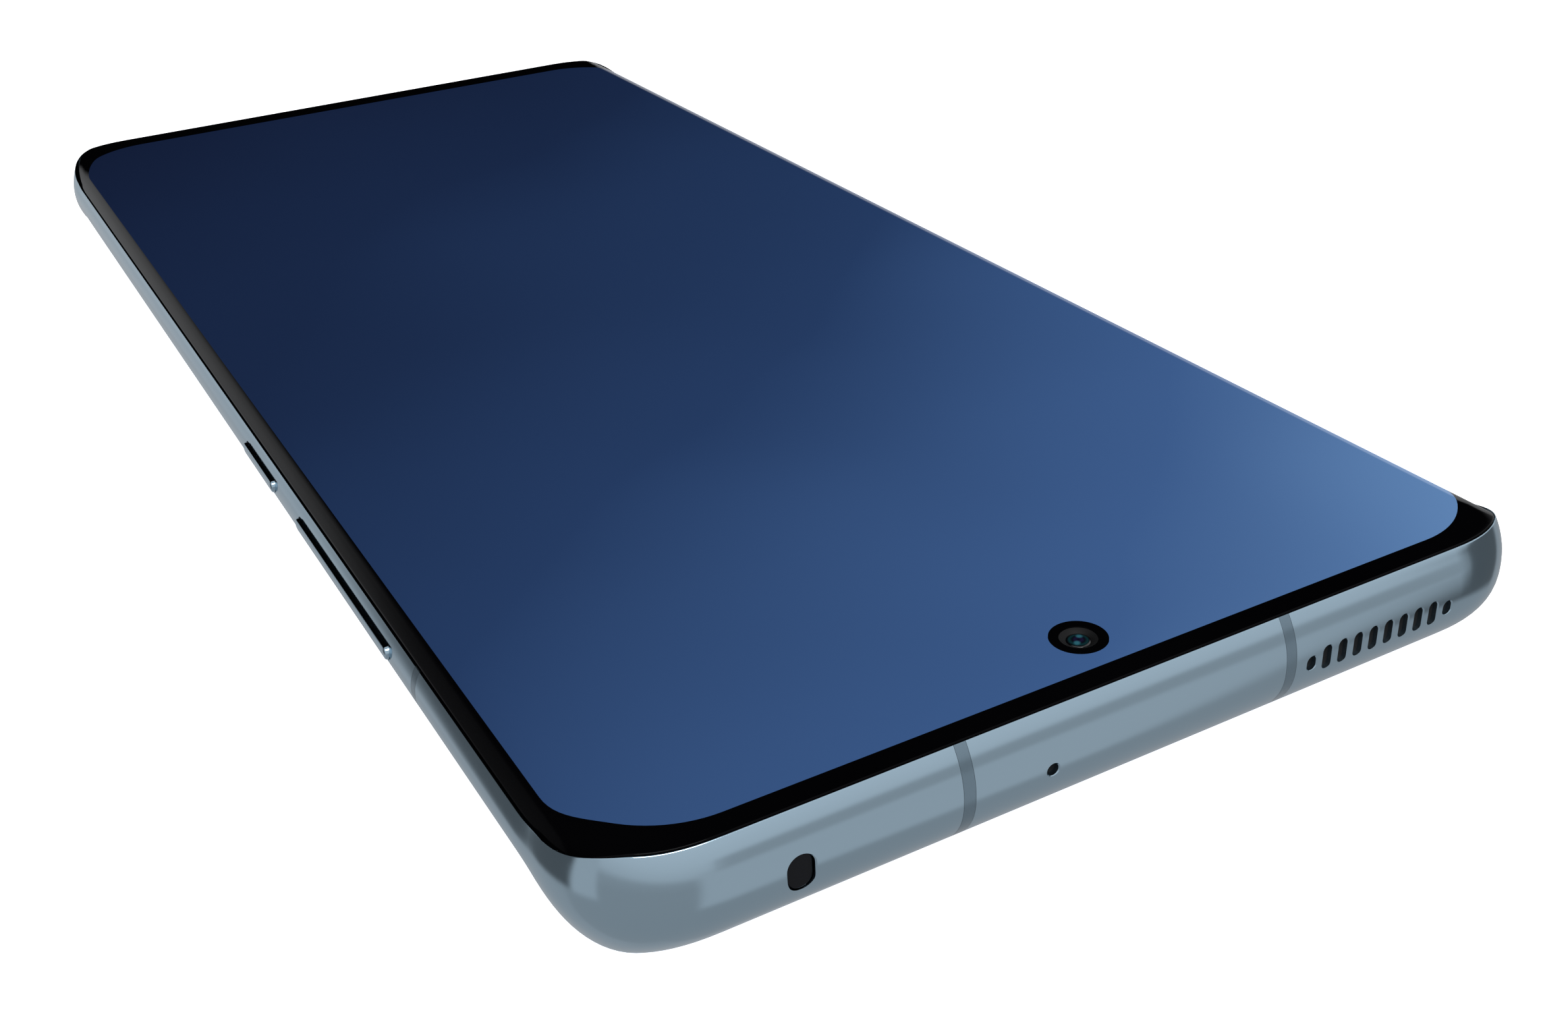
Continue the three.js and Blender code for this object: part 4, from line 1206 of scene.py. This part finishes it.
# Light from each height, from straight down to straight up.
SKY = [(0.0, 0.37), (0.36, 0.38), (0.44, 0.41), (0.5, 0.58), (0.6, 0.66), (0.76, 0.74), (1.0, 0.7)]
# Walls and screens round the table: from and to these azimuths in degrees, from and to these
# heights, and how bright. Each one stands before those above it.
WALLS = [
    dict(azimuth=(-130, -30), height=(-1.0, -0.5), level=0.42),
    dict(azimuth=(-130, -30), height=(-0.5, -0.3), level=0.46),
    dict(azimuth=(-130, -30), height=(-0.3, -0.12), level=0.51),
    dict(azimuth=(-130, -30), height=(-0.12, 0.13), level=0.57),
    dict(azimuth=(-22, 6), height=(-0.5, 0.1), level=0.53),
    dict(azimuth=(94, 134), height=(-0.66, 0.02), level=0.54),
    dict(azimuth=(104, 136), height=(-0.04, 0.18), level=0.42),
    dict(azimuth=(-59, -24), height=(-0.48, 0.9), level=0.12),
    dict(azimuth=(-150, -40), height=(0.12, 0.9), level=0.0),
    dict(azimuth=(138, 176), height=(-0.5, 0.3), level=0.13),
]
WALL_SOFTNESS = (4, 0.05)
# What shows past the edge of the floor, and the light's place, size and power in metres and watts.
BACKDROP = (0.9, 0.905, 0.915, 1)
LIGHT_PLACE = (0.1, 0.5, 0.9)
LIGHT_SIZE = (0.7, 0.35)
LIGHT_POWER = 6


def wall_mask(g, azimuth, height, wall):
    """1 towards a wall and 0 elsewhere, with soft edges."""
    mask = 1.0
    for value, (low, high), soft in zip((azimuth, height), (wall["azimuth"], wall["height"]), WALL_SOFTNESS):
        mask = g.math("MULTIPLY", mask, g.range(value, low - soft, low + soft, 0, 1, True))
        mask = g.math("MULTIPLY", mask, g.range(value, high - soft, high + soft, 1, 0, True))
    return mask


def room_grey(level):
    return (level * 0.97, level * 0.99, level * 1.02, 1)


def make_world():
    """A soft grey room with lighter and darker walls, which only reflections and light rays see."""
    world = bpy.data.worlds.new("studio")
    bpy.context.scene.world = world
    g = Graph("studio", world)
    x, y, z = g.split(g.place)
    azimuth = g.math("DEGREES", g.math("ARCTAN2", y, x))
    light = g.ramp(g.range(z, -1, 1, 0, 1), [(place, room_grey(level)) for place, level in SKY])
    for wall in WALLS:
        light = g.mix(wall_mask(g, azimuth, z, wall), light, room_grey(wall["level"]))
    seen = g.node("ShaderNodeLightPath").outputs["Is Camera Ray"]
    light = g.mix(seen, light, BACKDROP)
    g.link(light, g.tree.nodes["Background"].inputs["Color"])


def make_light():
    """One soft panel above the top end, turned to the phone."""
    data = bpy.data.lights.new("key_light", "AREA")
    data.shape = "RECTANGLE"
    data.size, data.size_y = LIGHT_SIZE
    data.energy = LIGHT_POWER
    light = new_object("key_light", data)
    light.location = LIGHT_PLACE
    light.rotation_euler = (-Vector(LIGHT_PLACE)).to_track_quat("-Z", "Y").to_euler()


# --- Assembly ----------------------------------------------------------------------------

def build_front():
    piece("cover_glass_border", border_mesh(), "front_glass", ["cover_glass"])
    piece("display_picture", picture_mesh(), "display", ["display_panel"])
    centre = PUNCH[:2]
    surround = [(1.965, 8.15), (1.29, 8.15), (1.27, 8.1), (1.27, 7.6), (1.965, 7.6)]
    piece("front_camera_surround", revolved(centre, surround, ring=True), "front_glass")
    grey = ring_finish("front_camera_ring", centre, 0.12, srgb(9, 9, 10), srgb(15, 15, 16), 0.6)
    cone = [(1.265, 8.08), (0.84, 7.92), (0.82, 7.9), (0.82, 7.6), (1.265, 7.6)]
    piece("front_camera_ring", revolved(centre, cone, ring=True), "module_black", finish=grey)
    # Two painted teal highlights on the front lens, mixed into its colour.
    painted_glints = [((centre[0] + dx, centre[1] + dy), 0.3, srgb(44, 96, 108))
              for dx, dy in ((0.3, 0.25), (-0.3, -0.3))]
    coating = lens_coating("front_lens_coating", centre, 0.82, painted_glints)
    piece("front_camera_glass", revolved(centre, dome_profile(0.815, 7.88, 7.98, 7.5)), "lens_glass",
          ["front_camera_lens"], finish=coating)


def build_sides():
    build_band()
    piece("mid_frame_plate", plate_mesh(), "frame_metal")
    piece("screw_bosses", boss_mesh(), "frame_metal")
    for name in ("power_key", "volume_key"):
        piece(name + "_cap", key_mesh(name), "frame_metal", [name], name)
    piece("card_tray_body", tray_mesh(), "frame_metal", ["card_tray"], "card_tray")
    # Near-black dust cloth: partly the cloth's own colour, partly painted shade for the dark inside of the
    # openings.
    gauze_and_painted_shade = grained("dust_cloth_and_painted_shade", srgb(5, 5, 6), 0.9, grain=6000, spread=0.5, bump=0.3)
    for name, speaker, facing in (("top", TOP_SPEAKER, 1), ("bottom", BOTTOM_SPEAKER, -1)):
        holes = dict(speaker=speaker_places(speaker),
                     microphone=[(node_middle(name + "_microphone").x, (MIC_RADIUS,) * 2)])
        for kind, places in holes.items():
            piece(f"{name}_{kind}_gauze", gauze_mesh(places, facing), "grille_mesh", finish=gauze_and_painted_shade)
    piece("emitter_cover", emitter_mesh(), "dark_glass", ["emitter_window"])
    piece("usb_tube", usb_mesh(), "steel", ["usb_shell"])
    piece("usb_blade", tongue_mesh(), "module_black", ["usb_tongue"])
    gilt = grained("gilt", srgb(222, 184, 104), 0.28, 1.0, grain=2000)
    piece("usb_contacts", contacts_mesh(), "copper", finish=gilt)


# Each camera's lens: radius of the front lens, its edge, top and back heights, and its body.
LENSES = dict(main_camera=(2.55, -0.35, -0.72, -0.1, "focus_barrel"),
              wide_camera=(1.65, -1.15, -1.5, -0.95, BODY),
              macro_camera=(1.33, -1.15, -1.42, -0.95, BODY))


def build_cameras():
    piece("camera_island_frame", island_mesh(), "frame_metal", ["camera_island"])
    piece("camera_glass_plate", cover_mesh(), "dark_glass", ["camera_cover_glass"])
    for name, (_, opening) in CAMERAS.items():
        centre = node_middle(name)[:2]
        trim = trim_profile(opening - 0.02, opening - 0.5, ISLAND_OUTER + 0.08, ISLAND_PLATE[0] - 0.02)
        brushed = ring_finish(name + "_trim", centre, 0.09, (0.36, 0.48, 0.57, 1), METAL_COLOUR, 0.26, 0.95)
        piece(name + "_trim", revolved(centre, trim, ring=True), "frame_metal", finish=brushed)
    for name, (radius, edge, top, back, body) in LENSES.items():
        centre = node_middle(name)[:2]
        coating = lens_coating(name + "_coating", centre, radius)
        lens = revolved(centre, dome_profile(radius, edge, top, back))
        piece(name + "_glass", lens, "lens_glass", body=body, finish=coating)
    build_barrels()
    centre = node_middle("flash_led")[:2]
    amber = ring_finish("flash_lens", centre, 0.2, srgb(228, 214, 150), srgb(250, 246, 224), 0.25)
    piece("flash_lens", revolved(centre, flash_profile(1.5, -2.3, -1.65)), "lamp", finish=amber)


def barrel_black(name, centre):
    return ring_finish(name + "_barrel", centre, 0.16, srgb(9, 9, 10), srgb(26, 26, 28), 0.45)


def build_barrels():
    """The stepped black barrels round the three lenses. The main one travels to focus."""
    low, high = node_box("main_camera_lens")
    centre = node_middle("main_camera_lens")[:2]
    profile = baffle_profile(4.5, 2.6, low.z, 0.75, 4, high.z)
    piece("main_lens_barrel", revolved(centre, profile), "module_black", ["main_camera_lens"],
          "focus_barrel", barrel_black("main", centre))
    for name, outer, inner in (("wide_camera", 3.08, 1.7), ("macro_camera", 2.48, 1.37)):
        centre = node_middle(name)[:2]
        step = (outer - inner) / 3
        rim = [(outer, -1.68), (outer, -1.85), (outer - 0.08, -1.93), (outer - step, -1.93),
               (outer - step - 0.05, -1.8), (inner + step, -1.7), (inner + step - 0.05, -1.5), (inner, -1.4),
               (inner, -1.0), (inner + 0.2, -1.0), (inner + 0.2, -1.3), (inner + step, -1.68)]
        piece(name + "_rim", revolved(centre, rim, ring=True), "module_black",
              finish=barrel_black(name, centre))


def paint_inside():
    """Finishes for the CAD nodes that no piece stands for."""
    shown = [part for part in frame["record"]["subparts"] if not frame["nodes"][part["node"]].hide_render]
    copper_sheet = grained("copper_sheet", srgb(190, 112, 64), 0.32, 1.0, grain=900, stretch=(4, 0.3, 4))
    for part in shown:
        sheet = part["node"] == "heat_spreader"
        paint_node(part["node"], copper_sheet if sheet else FINISHES[part["material_slot"]])


bpy.context.scene.view_settings.view_transform = "Standard"
make_camera()
make_floor()
make_world()
make_light()
build_front()
build_sides()
piece("back_glass", back_mesh(), "back_glass", ["back_cover"])
build_cameras()
paint_inside()
